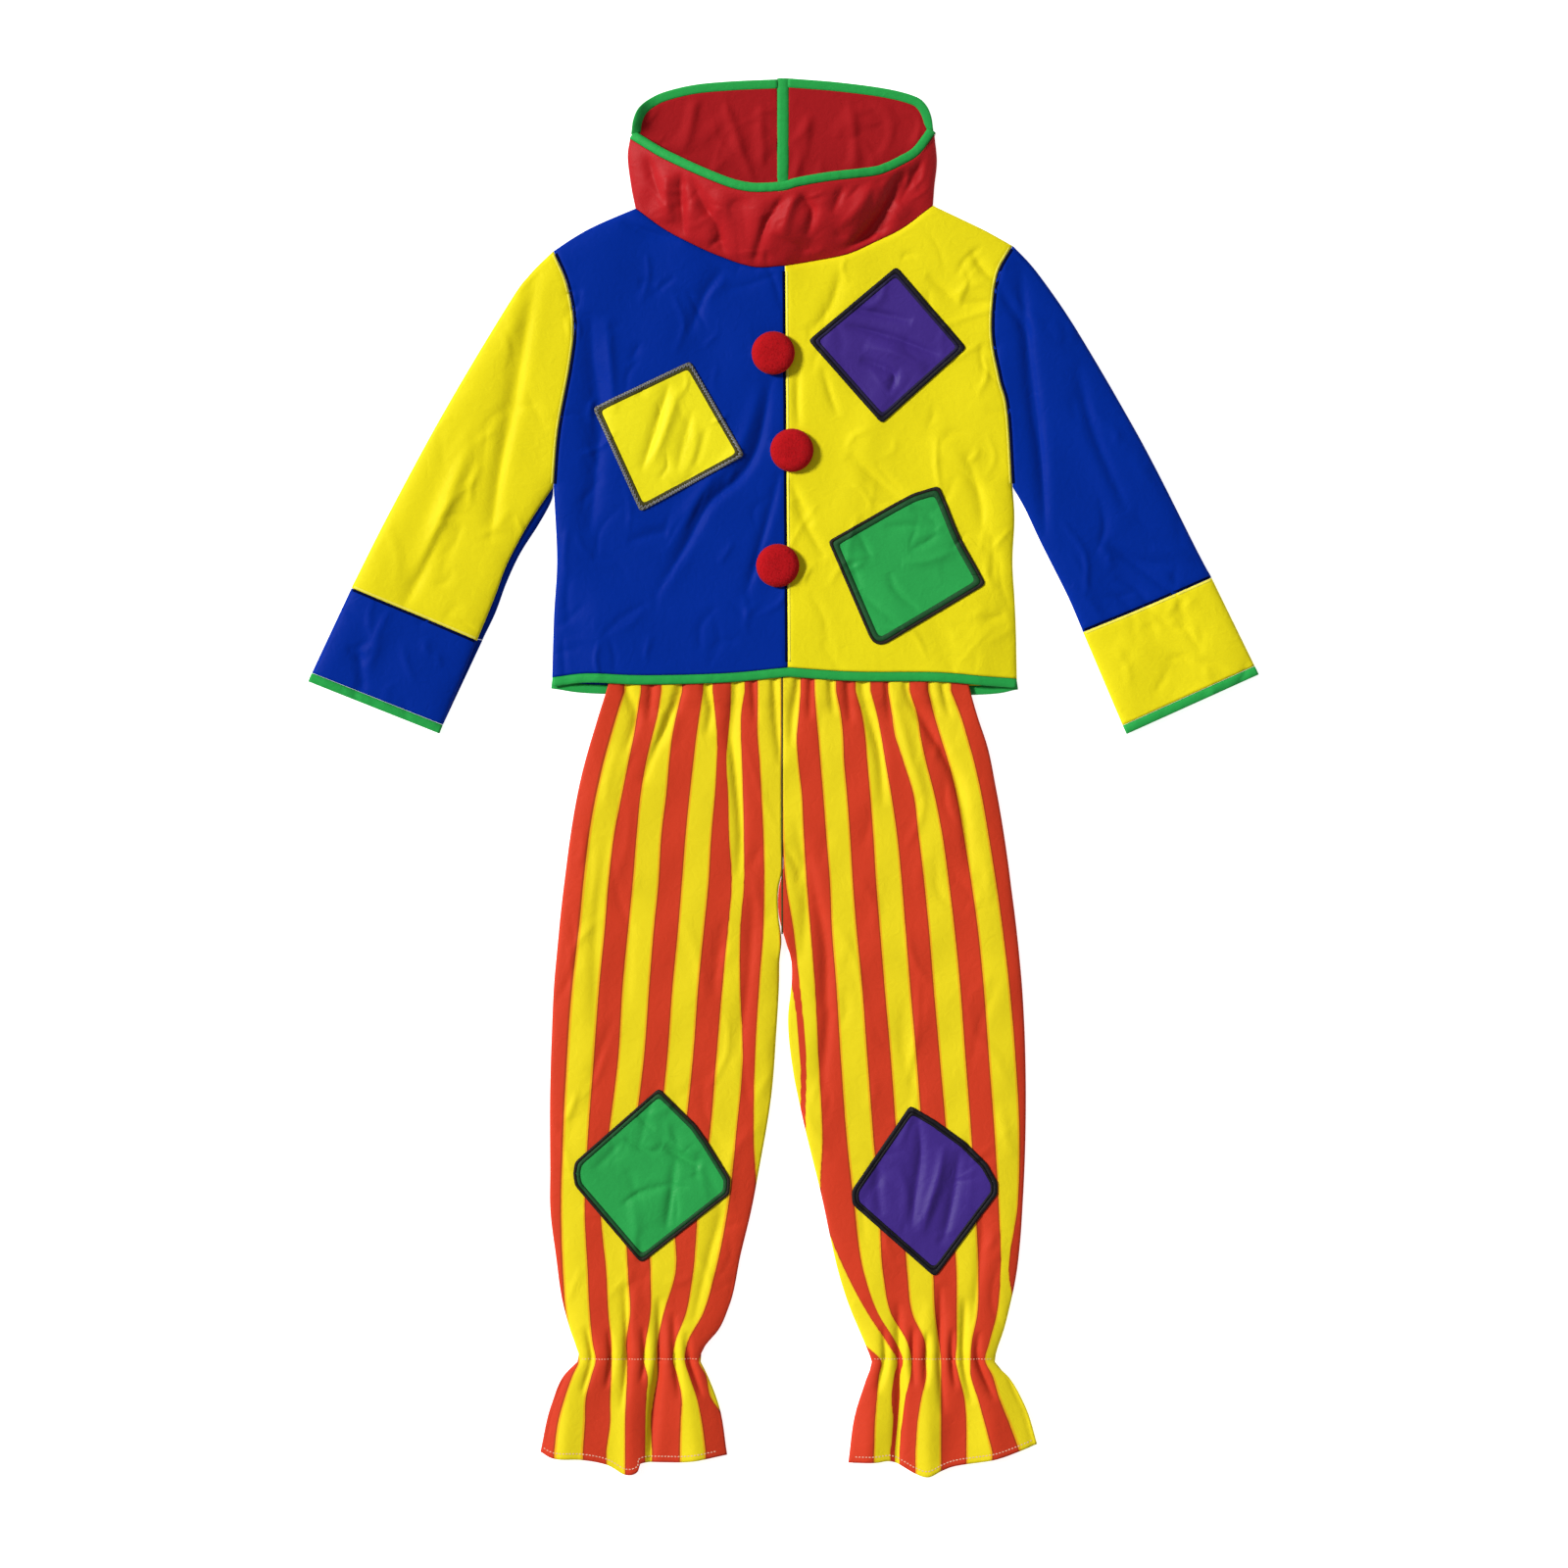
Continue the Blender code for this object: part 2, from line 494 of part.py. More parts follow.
def make_collar_front():
    seam = join(edge(NECK_RIGHT, COLUMNS_NECK), edge(NECK_LEFT, COLUMNS_NECK)[::-1])
    seam_height = top_front_height(seam[:, 0], seam[:, 1])
    seam[:, 1] += SEAM
    columns = 2 * COLUMNS_NECK
    middle = edge(FRONT_RIM, columns)
    rim = beside(middle, -BINDING_WIDTH / 2 - SEAM)
    left = edge(COLLAR_SIDE_RIGHT, COLLAR_ROWS)
    right = edge(COLLAR_SIDE_LEFT, COLLAR_ROWS)
    left[0], right[0] = seam[0], seam[-1]
    left[-1], right[-1] = rim[0], rim[-1]
    grid = coons(seam, rim, left, right)
    across = np.linspace(0, 1, columns + 1)[None, :]
    up = np.linspace(0, 1, COLLAR_ROWS + 1)[:, None]
    arch = collar_rise(across) * (1 - (1 - up) ** COLLAR_ROUND)
    fold = fold_height(grid[..., 0], grid[..., 1], COLLAR_FOLDS) * ease(6 * up) * ease(6 * (1 - up))
    low = np.maximum(seam_height[None, :] * (1 - up) + FRONT_FLOOR * up + arch + fold, FRONT_FLOOR)
    wall("collar_front", "red_satin", grid, low, COLLAR_WALL)
    lower_edge = beside(middle, -BINDING_WIDTH / 2)
    binding = np.stack([lower_edge, beside(middle, BINDING_WIDTH / 2)])
    wall("rim_binding_front", "green_binding", binding, low[-1][None, :], BINDING_WALL)


def make_collar_back():
    halves = [
        ("right", BACK_NECK_RIGHT, COLLAR_SIDE_RIGHT, BACK_RIM_RIGHT, -1),
        ("left", BACK_NECK_LEFT, COLLAR_SIDE_LEFT, BACK_RIM_LEFT, 1),
    ]
    for side_name, neck, side, rim, outward in halves:
        seam = edge(neck, 8)
        seam[:, 1] += SEAM
        rim_line = edge(rim, 8)
        inner_rim = beside(rim_line, outward * BINDING_WIDTH)
        inner_rim[-1, 0] = rim_line[-1, 0]
        inner_rim[0] = (rim_line[0, 0] - outward * 2, rim_line[0, 1] - 1)
        seam[-1, 0] = rim_line[-1, 0]
        panel_top = beside(inner_rim, outward * SEAM)
        panel_top[-1, 0] = rim_line[-1, 0]
        left = edge(side, 6)
        left[0], left[-1] = seam[0], panel_top[0]
        right = edge([seam[-1], panel_top[-1]], 6)
        grid = coons(seam, panel_top, left, right)
        thick = CLOTH + np.clip(fold_height(grid[..., 0], grid[..., 1], BACK_COLLAR_FOLDS), 0, 2)
        wall("collar_back_" + side_name, "red_satin", grid, 0, np.where(thick > 1.05, thick, CLOTH))
        binding = np.stack([rim_line, inner_rim])
        wall("rim_binding_back_" + side_name, "green_binding", binding, 0, CLOTH)


def make_opening_binding():
    """The bound edge of the opening down the collar's centre back."""
    half = OPENING_HALF - SEAM
    bottom, top = BACK_NECK_RIGHT[-1][1] + SEAM, BACK_RIM_LEFT[-1][1]
    grid = coons(edge([(-half, bottom), (half, bottom)], 1), edge([(-half, top), (half, top)], 1),
                 edge([(-half, bottom), (-half, top)], 1), edge([(half, bottom), (half, top)], 1))
    wall("opening_binding", "green_binding", grid, 0, CLOTH)


# The trousers

def leg_grid(rows, hem, columns, outer_first):
    """Rows of points down a leg, with the hem's waves let in over the ruffle."""
    levels = np.array(LEG_LEVELS, float)
    ys = [row.y for row in rows]
    outer = through_rows(ys, [row.outer for row in rows], levels)
    inner = through_rows(ys, [row.inner for row in rows], levels)
    first, last = (outer, inner) if outer_first else (inner, outer)
    across = np.linspace(0, 1, columns + 1)[None, :]
    x = first[:, None] * (1 - across) + last[:, None] * across
    hem_line = spline(hem)
    drop = np.interp(x[-1], hem_line[:, 0], hem_line[:, 1]) - HEM_Y
    y = levels[:, None] + drop[None, :] * ease((ANKLE_Y - levels[:, None]) / (ANKLE_Y - HEM_Y))
    return np.stack([x, np.broadcast_to(y, x.shape)], axis=-1), np.broadcast_to(across, x.shape)


def leg_edges(rows):
    return [[(row.outer, row.y) for row in rows], [(row.inner, row.y) for row in rows if row.y < CROTCH_Y]]


def make_leg(side_name, rows, hem, outer_first):
    grid, across = leg_grid(rows, hem, LEG_COLUMNS, outer_first)
    height = front_leg_height(grid[..., 0], grid[..., 1], across, leg_edges(rows))
    wall(f"leg_{side_name}_front", "stripes", grid, height, CLOTH)
    grid, across = leg_grid(rows, hem, LEG_BACK_COLUMNS, outer_first)
    wall(f"leg_{side_name}_back", "stripes", grid, back_leg_height(grid[..., 0], grid[..., 1]), CLOTH)


def make_waist_casing():
    left, right = RIGHT_LEG[0].outer + 1, LEFT_LEG[0].outer - 1
    columns = 2 * GATHERS_A_LEG * 2
    low_edge = edge([(left, CASING_LOW + SEAM), (right, CASING_LOW + SEAM)], columns)
    high_edge = edge([(left, CASING_HIGH), (right, CASING_HIGH)], columns)
    grid = np.stack([low_edge, high_edge])
    wave = np.where(np.arange(columns + 1) % 2, CASING_WAVE, 0)[None, :]
    wall("waistband_front", "stripes", grid, TUCK_FRONT + SEAM + wave, CASING_WALL)
    wall("waistband_back", "stripes", grid, TUCK_BACK, CLOTH)


# What is sewn on

def top_surface(panel_name):
    """The outer skin of a panel, as its own mesh."""
    skin = bmesh.new()
    skin.from_mesh(bpy.data.objects[panel_name].data)
    skin.normal_update()
    bmesh.ops.delete(skin, geom=[f for f in skin.faces if f.normal.z < 0.05], context="FACES")
    return skin


def make_patch(patch):
    """Cut from the points of the panel under it, then moved out, so that it lies on every fold."""
    skin = top_surface(patch.panel)
    corners = np.array(patch.corners, float) * MM
    for start, end in zip(corners, np.roll(corners, -1, axis=0)):
        along = end - start
        bmesh.ops.bisect_plane(
            skin, geom=list(skin.verts) + list(skin.edges) + list(skin.faces), dist=1e-7,
            plane_co=(start[0], start[1], 0), plane_no=(along[1], -along[0], 0), clear_outer=True)
    bmesh.ops.triangulate(skin, faces=skin.faces)
    bmesh.ops.translate(skin, verts=skin.verts, vec=(0, 0, SEAM * MM))
    for face in skin.faces:
        face.normal_flip()
    raised = bmesh.ops.extrude_face_region(skin, geom=list(skin.faces), use_keep_orig=True)
    moved = [v for v in raised["geom"] if isinstance(v, bmesh.types.BMVert)]
    bmesh.ops.translate(skin, verts=moved, vec=(0, 0, CLOTH * MM))
    bmesh.ops.recalc_face_normals(skin, faces=skin.faces)
    add_object(patch.name, skin, patch.material)


def height_under(x, y, radius):
    """The highest point of the front panels inside a round spot."""
    highest = 0
    spread = np.linspace(-radius, radius, 31)
    for name in ("front_right", "front_left"):
        panel = bmesh.new()
        panel.from_mesh(bpy.data.objects[name].data)
        tree = BVHTree.FromBMesh(panel)
        panel.free()
        for dx in spread:
            for dy in spread[np.abs(spread) <= np.sqrt(radius**2 - dx**2)]:
                hit = tree.ray_cast(((x + dx) * MM, (y + dy) * MM, 1), (0, 0, -1))[0]
                highest = max(highest, hit.z / MM if hit else 0)
    return highest


def button_profile():
    """(radius, height) rings from the flat underside, round the rim and over the dome."""
    lift = BUTTON_HEIGHT * RIM_SHARE
    rings = []
    for t in np.linspace(-RIM_TURN, 1, BUTTON_RINGS, endpoint=False):
        radius = BUTTON_RADIUS * np.cos(t * np.pi / 2) ** DOME_POWER
        dome = lift + (BUTTON_HEIGHT - lift) * np.sin(t * np.pi / 2)
        rings.append((radius, dome if t > 0 else lift * (1 + t / RIM_TURN)))
    return rings


def make_button(button):
    """Domed disc with a rounded rim, sitting on the centre-front seam."""
    base = height_under(button.x, button.y, BUTTON_RADIUS) + SEAM
    mesh_data = bmesh.new()

    def vertex(x, y, z):
        return mesh_data.verts.new(((button.x + x) * MM, (button.y + y) * MM, (base + z) * MM))

    turn = np.linspace(0, 2 * np.pi, BUTTON_SIDES, endpoint=False)
    rings = [[vertex(radius * np.cos(a), radius * np.sin(a), z) for a in turn]
             for radius, z in button_profile()]
    crown = vertex(0, 0, BUTTON_HEIGHT)
    for i in range(BUTTON_SIDES):
        j = (i + 1) % BUTTON_SIDES
        for low, high in zip(rings, rings[1:]):
            mesh_data.faces.new((low[i], low[j], high[j], high[i]))
        mesh_data.faces.new((rings[-1][i], rings[-1][j], crown))
    mesh_data.faces.new(rings[0][::-1])
    bmesh.ops.recalc_face_normals(mesh_data, faces=mesh_data.faces)
    made = add_object(button.name, mesh_data, "button_red")
    made.data.shade_smooth()


def main():
    clear_scene()
    make_body()
    make_sleeve("right", ("yellow", "blue", "blue"), ARMHOLE_RIGHT, OUTER_RIGHT, INNER_RIGHT,
                INNER_RIGHT_BACK, CUFF_SEAM_RIGHT, CUFF_HEM_RIGHT, -1)
    make_sleeve("left", ("blue", "blue", "yellow"), ARMHOLE_LEFT, OUTER_LEFT, INNER_LEFT,
                INNER_LEFT, CUFF_SEAM_LEFT, CUFF_HEM_LEFT, 1)
    make_hem_bindings()
    make_collar_front()
    make_collar_back()
    make_opening_binding()
    make_leg("right", RIGHT_LEG, HEM_LINE_RIGHT, True)
    make_leg("left", LEFT_LEG, HEM_LINE_LEFT, False)
    make_waist_casing()
    for patch in PATCHES:
        make_patch(patch)
    for button in BUTTONS:
        make_button(button)


main()
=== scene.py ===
"""Looks of a child's clown costume laid flat: a top with a wide cowl collar, over striped trousers.

Every piece is built in the row frame, where +Y runs towards the collar, +X towards the wearer's left
and +Z up, out of the front. Tables and sizes are in millimetres. Back layers lie on the ground, front
layers lie on them, and the trousers' waist is tucked between the two layers of the top. The height of
the cloth is one function of place for the top and one for each leg, so that patches, bindings and
stitches lie on every fold of the cloth that carries them.
"""

from collections import namedtuple

import bpy
import numpy as np
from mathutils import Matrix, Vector


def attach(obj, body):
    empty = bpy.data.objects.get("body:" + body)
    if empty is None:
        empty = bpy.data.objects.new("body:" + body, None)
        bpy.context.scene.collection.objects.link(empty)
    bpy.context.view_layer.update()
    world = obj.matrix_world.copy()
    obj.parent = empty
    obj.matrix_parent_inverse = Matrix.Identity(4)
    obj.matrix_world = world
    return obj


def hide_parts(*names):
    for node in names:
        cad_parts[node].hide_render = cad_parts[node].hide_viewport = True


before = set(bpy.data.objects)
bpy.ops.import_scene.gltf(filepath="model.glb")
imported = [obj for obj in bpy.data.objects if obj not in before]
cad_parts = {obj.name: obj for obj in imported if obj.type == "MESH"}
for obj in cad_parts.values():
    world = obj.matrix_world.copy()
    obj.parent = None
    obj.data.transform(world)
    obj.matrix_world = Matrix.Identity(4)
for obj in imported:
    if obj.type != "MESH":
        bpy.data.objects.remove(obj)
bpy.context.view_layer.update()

MM = 0.001
BODY = "root"

# Cloth and seams
CLOTH = 0.8
SOLID_CLOTH = 1.0
SEAM = 0.3
BINDING_WIDTH = 9.4
BINDING_WALL = 1.7
COLLAR_WALL = 1.1
FRONT_FLOOR = SOLID_CLOTH + SEAM

# Heights of the soft loft inside the flat garment, and how far from an edge it grows
TOP_LOFT = 4.6
TOP_REACH = 22
LEG_LOFT = 4.6
LEG_REACH = 34

# Folds grow with the loft, from this share of their height at the garment's edge
TOP_EDGE_SHARE = 0.25
LEG_EDGE_SHARE = 0.2
ANKLE_EDGE_SHARE = 0.4

# How much higher each table's creases stand than they are listed
CREASE_GAIN = 1.9
LEG_CREASE_GAIN = 1.6
ANKLE_CREASE_GAIN = 1.6
COLLAR_CREASE_GAIN = 1.3

# How wide the soft bend is where cloth comes down on the layer under it
TOP_BEND = 0.6
LEG_BEND = 0.5

# Grooves along the seams and along the stitching at the ankles
SEAM_DIP, SEAM_DIP_WIDTH = 1.3, 2.6
ANKLE_DIP, ANKLE_DIP_WIDTH = 1.1, 2.2

# Waist of the trousers, tucked into the top
CASING_LOW = 124
CASING_HIGH = 149
TUCK_START = 68
TUCK_END = 82
TUCK_BACK = SOLID_CLOTH + SEAM
TUCK_FRONT = 2 * (SOLID_CLOTH + SEAM)
GATHER_RISE = 4.4
GATHER_FADE = 70
GATHER_TOP = 97
OVER_WAIST = TUCK_FRONT + GATHER_RISE + SOLID_CLOTH + SEAM
WAIST_MIDDLE, WAIST_HALF = 5, 192
WAIST_CLEAR, WAIST_FADE_UP, WAIST_FADE_ACROSS = 8, 55, 32
WAIST_RISE = 3.7
OVER_WAIST_FLAT = 0.8
LEG_WAIST_FLAT, LEG_FLAT_START, LEG_FLAT_REACH = 0.75, 10, 62
CASING_WAVE, CASING_WAVE_LENGTH = 0.75, 13.5
CASING_STRIPE = 13.2

# Crotch, ankles and hems
CROTCH_Y = -168
ANKLE_Y = -593
ANKLE_PUFF = 3.9
ANKLE_FADE = 40
ANKLE_SPAN = {"right": (-205, -87), "left": (93, 213)}
HEM_Y = -692
HEM_STITCH_IN = 6

# The collar's arch, and the end of its back that stands up: where, how wide and between which heights
COLLAR_RISE = 31
COLLAR_ROUND = 2.2
END_RISE = 13
END_X, END_WIDTH = -153, 13
END_LOW, END_LOW_FADE = 652, 18
END_HIGH, END_HIGH_FADE = 712, 24

# How far cloth runs on under a binding of the back layer, which lies that much higher
TUCKED = 1.2
BACK_BAND_LIFT = 0.5

# How far apart sewn-on strips and threads lie over the cloth under them
STRIP_LIFT = 0.04
PATCH_LIFT = 0.55
PATCH_CLOTH = 0.6

# Buttons: the height of their edge, and how square and how round their top is
BUTTON_RADIUS = 22
BUTTON_HEIGHT = 11
BUTTON_EDGE = 3.2
DOME_POWER, DOME_BEND = 4.6, 0.55
RIM_LIFT = 2.6
NAP_FIBRES = 2600
NAP_THICK = 0.09
BUTTON_SEED = 50

Fold = namedtuple("Fold", "x0 y0 x1 y1 width height")
Crease = namedtuple("Crease", "width height lean points")
LegRow = namedtuple("LegRow", "y outer inner")
Patch = namedtuple("Patch", "name panel slot cloth border corners hollows")
Button = namedtuple("Button", "name x y")
Border = namedtuple("Border", "width share inner outer rise pitch")
SeamLine = namedtuple("SeamLine", "tone slot near far thick")
Sun = namedtuple("Sun", "name source angle strength colour")

# Outline of the top, (x, y). Sides run up from the hem, armholes up from the armpit
SIDE_RIGHT = [(-235.5, 102), (-235, 123), (-233.5, 168), (-230.5, 220), (-233, 278), (-234, 296)]
SIDE_LEFT = [(238.5, 100.6), (237.5, 150), (236, 183), (234, 220), (236, 263), (234, 296)]
ARMHOLE_RIGHT = [(-234, 296), (-229, 354), (-217, 420), (-213, 462), (-220, 503), (-234, 536.5)]
ARMHOLE_LEFT = [(234, 296), (229, 374), (221, 407), (213, 455), (218, 510), (234, 542)]
SHOULDER_RIGHT = [(-234, 536.5), (-212, 551), (-190, 563), (-150.5, 580)]
SHOULDER_LEFT = [(234, 542), (205, 558), (175, 572.5), (153, 583)]
NECK_RIGHT = [(-150.5, 580), (-122.5, 559.5), (-97, 545.5), (-66, 531.5), (-30, 520), (2, 521)]
NECK_LEFT = [(153, 583), (122, 559.5), (94, 545.5), (66, 533), (31, 526), (2, 521)]
BACK_NECK_RIGHT = [(-150.5, 580), (-75, 571), (2, 568)]
BACK_NECK_LEFT = [(153, 583), (75, 571.5), (2, 568)]
CENTRE = [(4.8, 112), (2, 521)]
BACK_CENTRE = [(2, 93), (2, 568)]
HEM_RIGHT = [(-235.5, 102), (-199, 106), (-143, 104), (-60, 106), (4.8, 112)]
HEM_LEFT = [(238.5, 100.6), (205, 103), (155.5, 107), (73, 107.6), (4.8, 112)]
BACK_HEM_RIGHT = [(-235.5, 100), (-181, 94.5), (2, 93)]
BACK_HEM_LEFT = [(238.5, 99), (192, 93.5), (2, 93)]

# Sleeves
OUTER_RIGHT = [(-234, 536.5), (-257.5, 513), (-279.5, 483), (-343, 377), (-399.5, 273), (-440, 193)]
OUTER_LEFT = [(234, 542), (260, 513), (301, 453), (367, 339), (423.5, 228), (437, 203.5)]
INNER_RIGHT = [(-234, 296), (-253, 268), (-268, 243), (-283, 213), (-294, 183), (-312, 139)]
INNER_RIGHT_BACK = [(-234, 296), (-236, 282), (-249, 258), (-268, 228), (-282, 198), (-293, 168),
                    (-306.5, 140)]
INNER_LEFT = [(234, 296), (247, 273), (261, 243), (276, 213), (291, 183), (306, 148)]
CUFF_SEAM_RIGHT = [(-440, 193), (-409.5, 180), (-366, 162), (-312, 139)]
CUFF_SEAM_LEFT = [(437, 203.5), (388, 182), (355, 168), (306, 148)]
CUFF_HEM_RIGHT = [(-480.5, 106.5), (-347, 53.5)]
CUFF_HEM_LEFT = [(481, 113.5), (346.5, 52.8)]

# Collar. The front rim is the middle of its binding, the back rim is its outer edge
COLLAR_SIDE_RIGHT = [(-150.5, 580), (-155, 603), (-158.5, 632), (-156, 652)]
COLLAR_SIDE_LEFT = [(153, 583), (154.5, 603), (157, 628), (154.5, 655)]
FRONT_RIM = [(-154, 655.5), (-135, 643), (-120, 634), (-90, 619), (-60, 606), (-42, 600.5),
             (-25, 598.5), (0, 600), (15, 604), (45, 609.5), (90, 615.5), (105, 620), (120, 627.5),
             (136, 638), (152, 660)]
BACK_RIM_RIGHT = [(-155, 656), (-152.5, 670), (-147, 682), (-136, 692), (-120, 699.5), (-90, 706.5),
                  (-52, 710), (-6.4, 712)]
BACK_RIM_LEFT = [(153.5, 659), (151, 675), (145, 687), (134, 695), (105, 702.5), (56, 709), (6, 713)]
OPENING_HALF = 6.2

# Legs: a row for each section, waist to hem
RIGHT_LEG = [
    LegRow(124, -171, -1.2), LegRow(97, -177.5, -1.2), LegRow(60, -189, -1.2), LegRow(4, -205, -1.2),
    LegRow(-67, -218, -1.2), LegRow(-94, -221.5, -0.4), LegRow(-114, -224, -4.8),
    LegRow(-140, -227, -4.8), LegRow(-168, -229.7, -1.6), LegRow(-187, -231.5, -3.6),
    LegRow(-203, -233, -3.8), LegRow(-263, -236, -7),
    LegRow(-317, -237.6, -11), LegRow(-403, -237.6, -25), LegRow(-440, -237.5, -32),
    LegRow(-486, -232, -43), LegRow(-541, -223.5, -55.5), LegRow(-564, -217, -66),
    LegRow(-581, -211, -80), LegRow(-593, -208, -84.5), LegRow(-609, -222.5, -77.5),
    LegRow(-641, -236, -65.5), LegRow(-692, -247.5, -57),
]
LEFT_LEG = [
    LegRow(124, 182, -0.8), LegRow(97, 188.5, -0.8), LegRow(60, 199, -0.8), LegRow(33, 208, -0.8),
    LegRow(-10, 217, -0.8), LegRow(-69, 227, -0.8), LegRow(-94, 230.5, 0), LegRow(-114, 233, -4.4),
    LegRow(-140, 236.4, -4.4), LegRow(-168, 239.6, 2.9), LegRow(-187, 241.5, 8.4),
    LegRow(-203, 243, 9), LegRow(-246, 245.8, 5), LegRow(-299, 247.5, 10),
    LegRow(-348, 247.6, 20), LegRow(-435, 244.5, 41), LegRow(-478, 241.5, 50), LegRow(-507, 238, 57),
    LegRow(-541, 231, 68), LegRow(-566, 224.5, 78.5), LegRow(-585, 218, 86.5), LegRow(-596, 216, 90.5),
    LegRow(-613, 230, 85), LegRow(-646, 246, 73.5), LegRow(-692, 259, 66.5),
]
HEM_LINE_RIGHT = [(-247.5, -688), (-233, -695), (-205, -696), (-180, -701), (-161, -711),
                  (-148.5, -708.5), (-143, -699), (-97, -698), (-57, -691)]
HEM_LINE_LEFT = [(66, -699), (93.5, -699), (112, -698), (135, -710), (148, -713.4), (162, -707),
                 (177, -702), (215, -696), (242, -687), (259, -680)]

# Where each stripe ends, by height down the leg, from the wearer's right to their left. A stripe hidden
# in a fold has next to no width there, and one turned to the back lies past the leg's edge. The bands
# take turns, red and yellow: the first of the right leg is red, and the first of the left is yellow
STRIPES_RIGHT = [
    (88, [-204, -161, -145, -124, -103, -81, -72, -53, -39, -26, -1, 18]),
    (63, [-210, -169, -149, -128, -109, -85, -69, -54, -43, -26, -1, 18]),
    (43, [-216, -175, -152, -133, -113, -88, -67, -56, -43, -26, -1, 18]),
    (18, [-224, -182, -157, -139, -116, -91, -67, -58, -42, -24, -1, 18]),
    (-17, [-232, -190, -164, -145, -119, -95, -69, -56, -41, -22, -1, 18]),
    (-57, [-238, -197, -172, -149, -124, -99, -73, -55, -40, -20, 0, 20]),
    (-107, [-244, -203, -178, -153, -127, -103, -76, -52, -40, -19, -2, 20]),
    (-157, [-250, -208, -182, -158, -132, -107, -81, -56, -44, -20, -3, 20]),
    (-207, [-256, -214, -187, -163, -136, -112, -86, -61, -44, -24, -1, 20]),
    (-287, [-260, -220, -193, -168, -142, -118, -92, -68, -41, -29, -6, 18]),
    (-367, [-262, -224, -199, -178, -152, -127, -101, -75, -48, -30, -12, 12]),
    (-437, [-260, -226, -202, -186, -160, -137, -112, -86, -56, -28, -8, 14]),
    (-507, [-254, -224, -199, -180, -158, -135, -110, -92, -70, -44, -20, 4]),
    (-547, [-247, -221, -197, -178, -156, -135, -122, -99, -82, -54, -30, -6]),
    (-577, [-238, -216, -194, -175, -160, -140, -128, -110, -98, -72, -50, -26]),
    (-595, [-231, -208, -191, -175, -159, -142, -128, -112, -100, -86, -64, -40]),
    (-609, [-236, -214, -195, -175, -159, -138, -128, -108, -96, -79, -56, -34]),
    (-632, [-250, -222, -201, -176, -160, -139, -132, -103, -88, -74, -50, -28]),
    (-657, [-258, -229, -202, -176, -161, -139.5, -135.5, -104, -83, -57, -34, -12]),
    (-687, [-266, -233, -204, -180, -161, -140, -134, -105, -79, -52, -28, -6]),
]
STRIPES_LEFT = [
    (88, [-44, -22, -1, 18, 32, 54, 74, 89, 107, 129, 148, 171, 195]),
    (63, [-44, -22, -1, 16, 34, 59, 81, 96, 111, 137, 154, 181, 205]),
    (43, [-44, -22, -1, 14, 36, 61, 84, 100, 114, 140, 160, 187, 211]),
    (18, [-44, -22, -1, 15, 38, 62, 86, 104, 122, 145, 168, 194, 218]),
    (-17, [-44, -22, -1, 19, 41, 65, 89, 110, 133, 154, 177, 202, 226]),
    (-57, [-44, -22, 0, 21, 44, 68, 92, 116, 138, 162, 184, 209, 233]),
    (-107, [-40, -18, 3, 24, 48, 71, 95, 121, 144, 169, 192, 217, 241]),
    (-157, [-30, -8, 11, 28, 50, 75, 99, 125, 149, 175, 199, 224, 248]),
    (-207, [-8, 8, 16, 32, 54, 80, 103, 129, 153, 180, 204, 230, 254]),
    (-287, [2, 18, 23, 36, 59, 86, 110, 136, 160, 186, 210, 237, 260]),
    (-367, [10, 19, 23, 40, 65, 92, 116, 142, 167, 192, 216, 241, 264]),
    (-437, [16, 26, 34, 39, 73, 98, 122, 147, 172, 196, 220, 239, 262]),
    (-507, [30, 42, 52, 65, 83, 102, 127, 153, 177, 199, 222, 230, 252]),
    (-547, [50, 60, 68, 87, 97, 110, 132, 155, 177, 198, 218, 236, 256]),
    (-577, [66, 74, 81, 107, 115, 127, 145, 159, 177, 192, 210, 228, 248]),
    (-595, [74, 84, 100, 117, 122, 131, 145, 161, 176, 191, 206, 226, 246]),
    (-609, [66, 82, 98, 114, 119, 130, 146, 161, 179, 191, 213, 238, 258]),
    (-632, [56, 72, 96, 111, 119, 124.5, 141, 161, 185, 198, 220, 250, 270]),
    (-657, [44, 64, 94, 113, 117, 121, 137, 161, 187, 205, 230, 262, 282]),
    (-687, [40, 62, 93, 110, 114, 118, 135, 161, 187, 213, 241, 274, 294]),
]
FIRST_BAND_RIGHT, FIRST_BAND_LEFT = 1, 2

# Largest folds, as the solids have them: end to end, then how wide and how high
FRONT_FOLDS = [
    Fold(-90, 250, -128, 180, 10, 1.2), Fold(-3, 305, -38, 185, 11, 1.4),
    Fold(195, 525, 175, 480, 9, 1.4), Fold(120, 470, 60, 250, 14, 1.4),
    Fold(150, 350, 205, 300, 10, 1.6), Fold(160, 160, 215, 175, 10, -1.4), Fold(14, 290, 38, 225, 9, 1.2),
]
SLEEVE_FOLDS = [
    Fold(-320, 337, -373, 208, 10, 1.6), Fold(-400, 160, -440, 90, 10, 1.6),
    Fold(230, 480, 300, 420, 10, 1.8), Fold(300, 380, 350, 250, 11, 1.8),
    Fold(340, 140, 400, 110, 10, 1.8),
]
LEG_FOLDS = [
    Fold(-190, -80, -200, -300, 14, 1.6), Fold(-150, -520, -160, -575, 8, 1.4),
    Fold(150, -530, 145, -575, 8, 1.4),
]

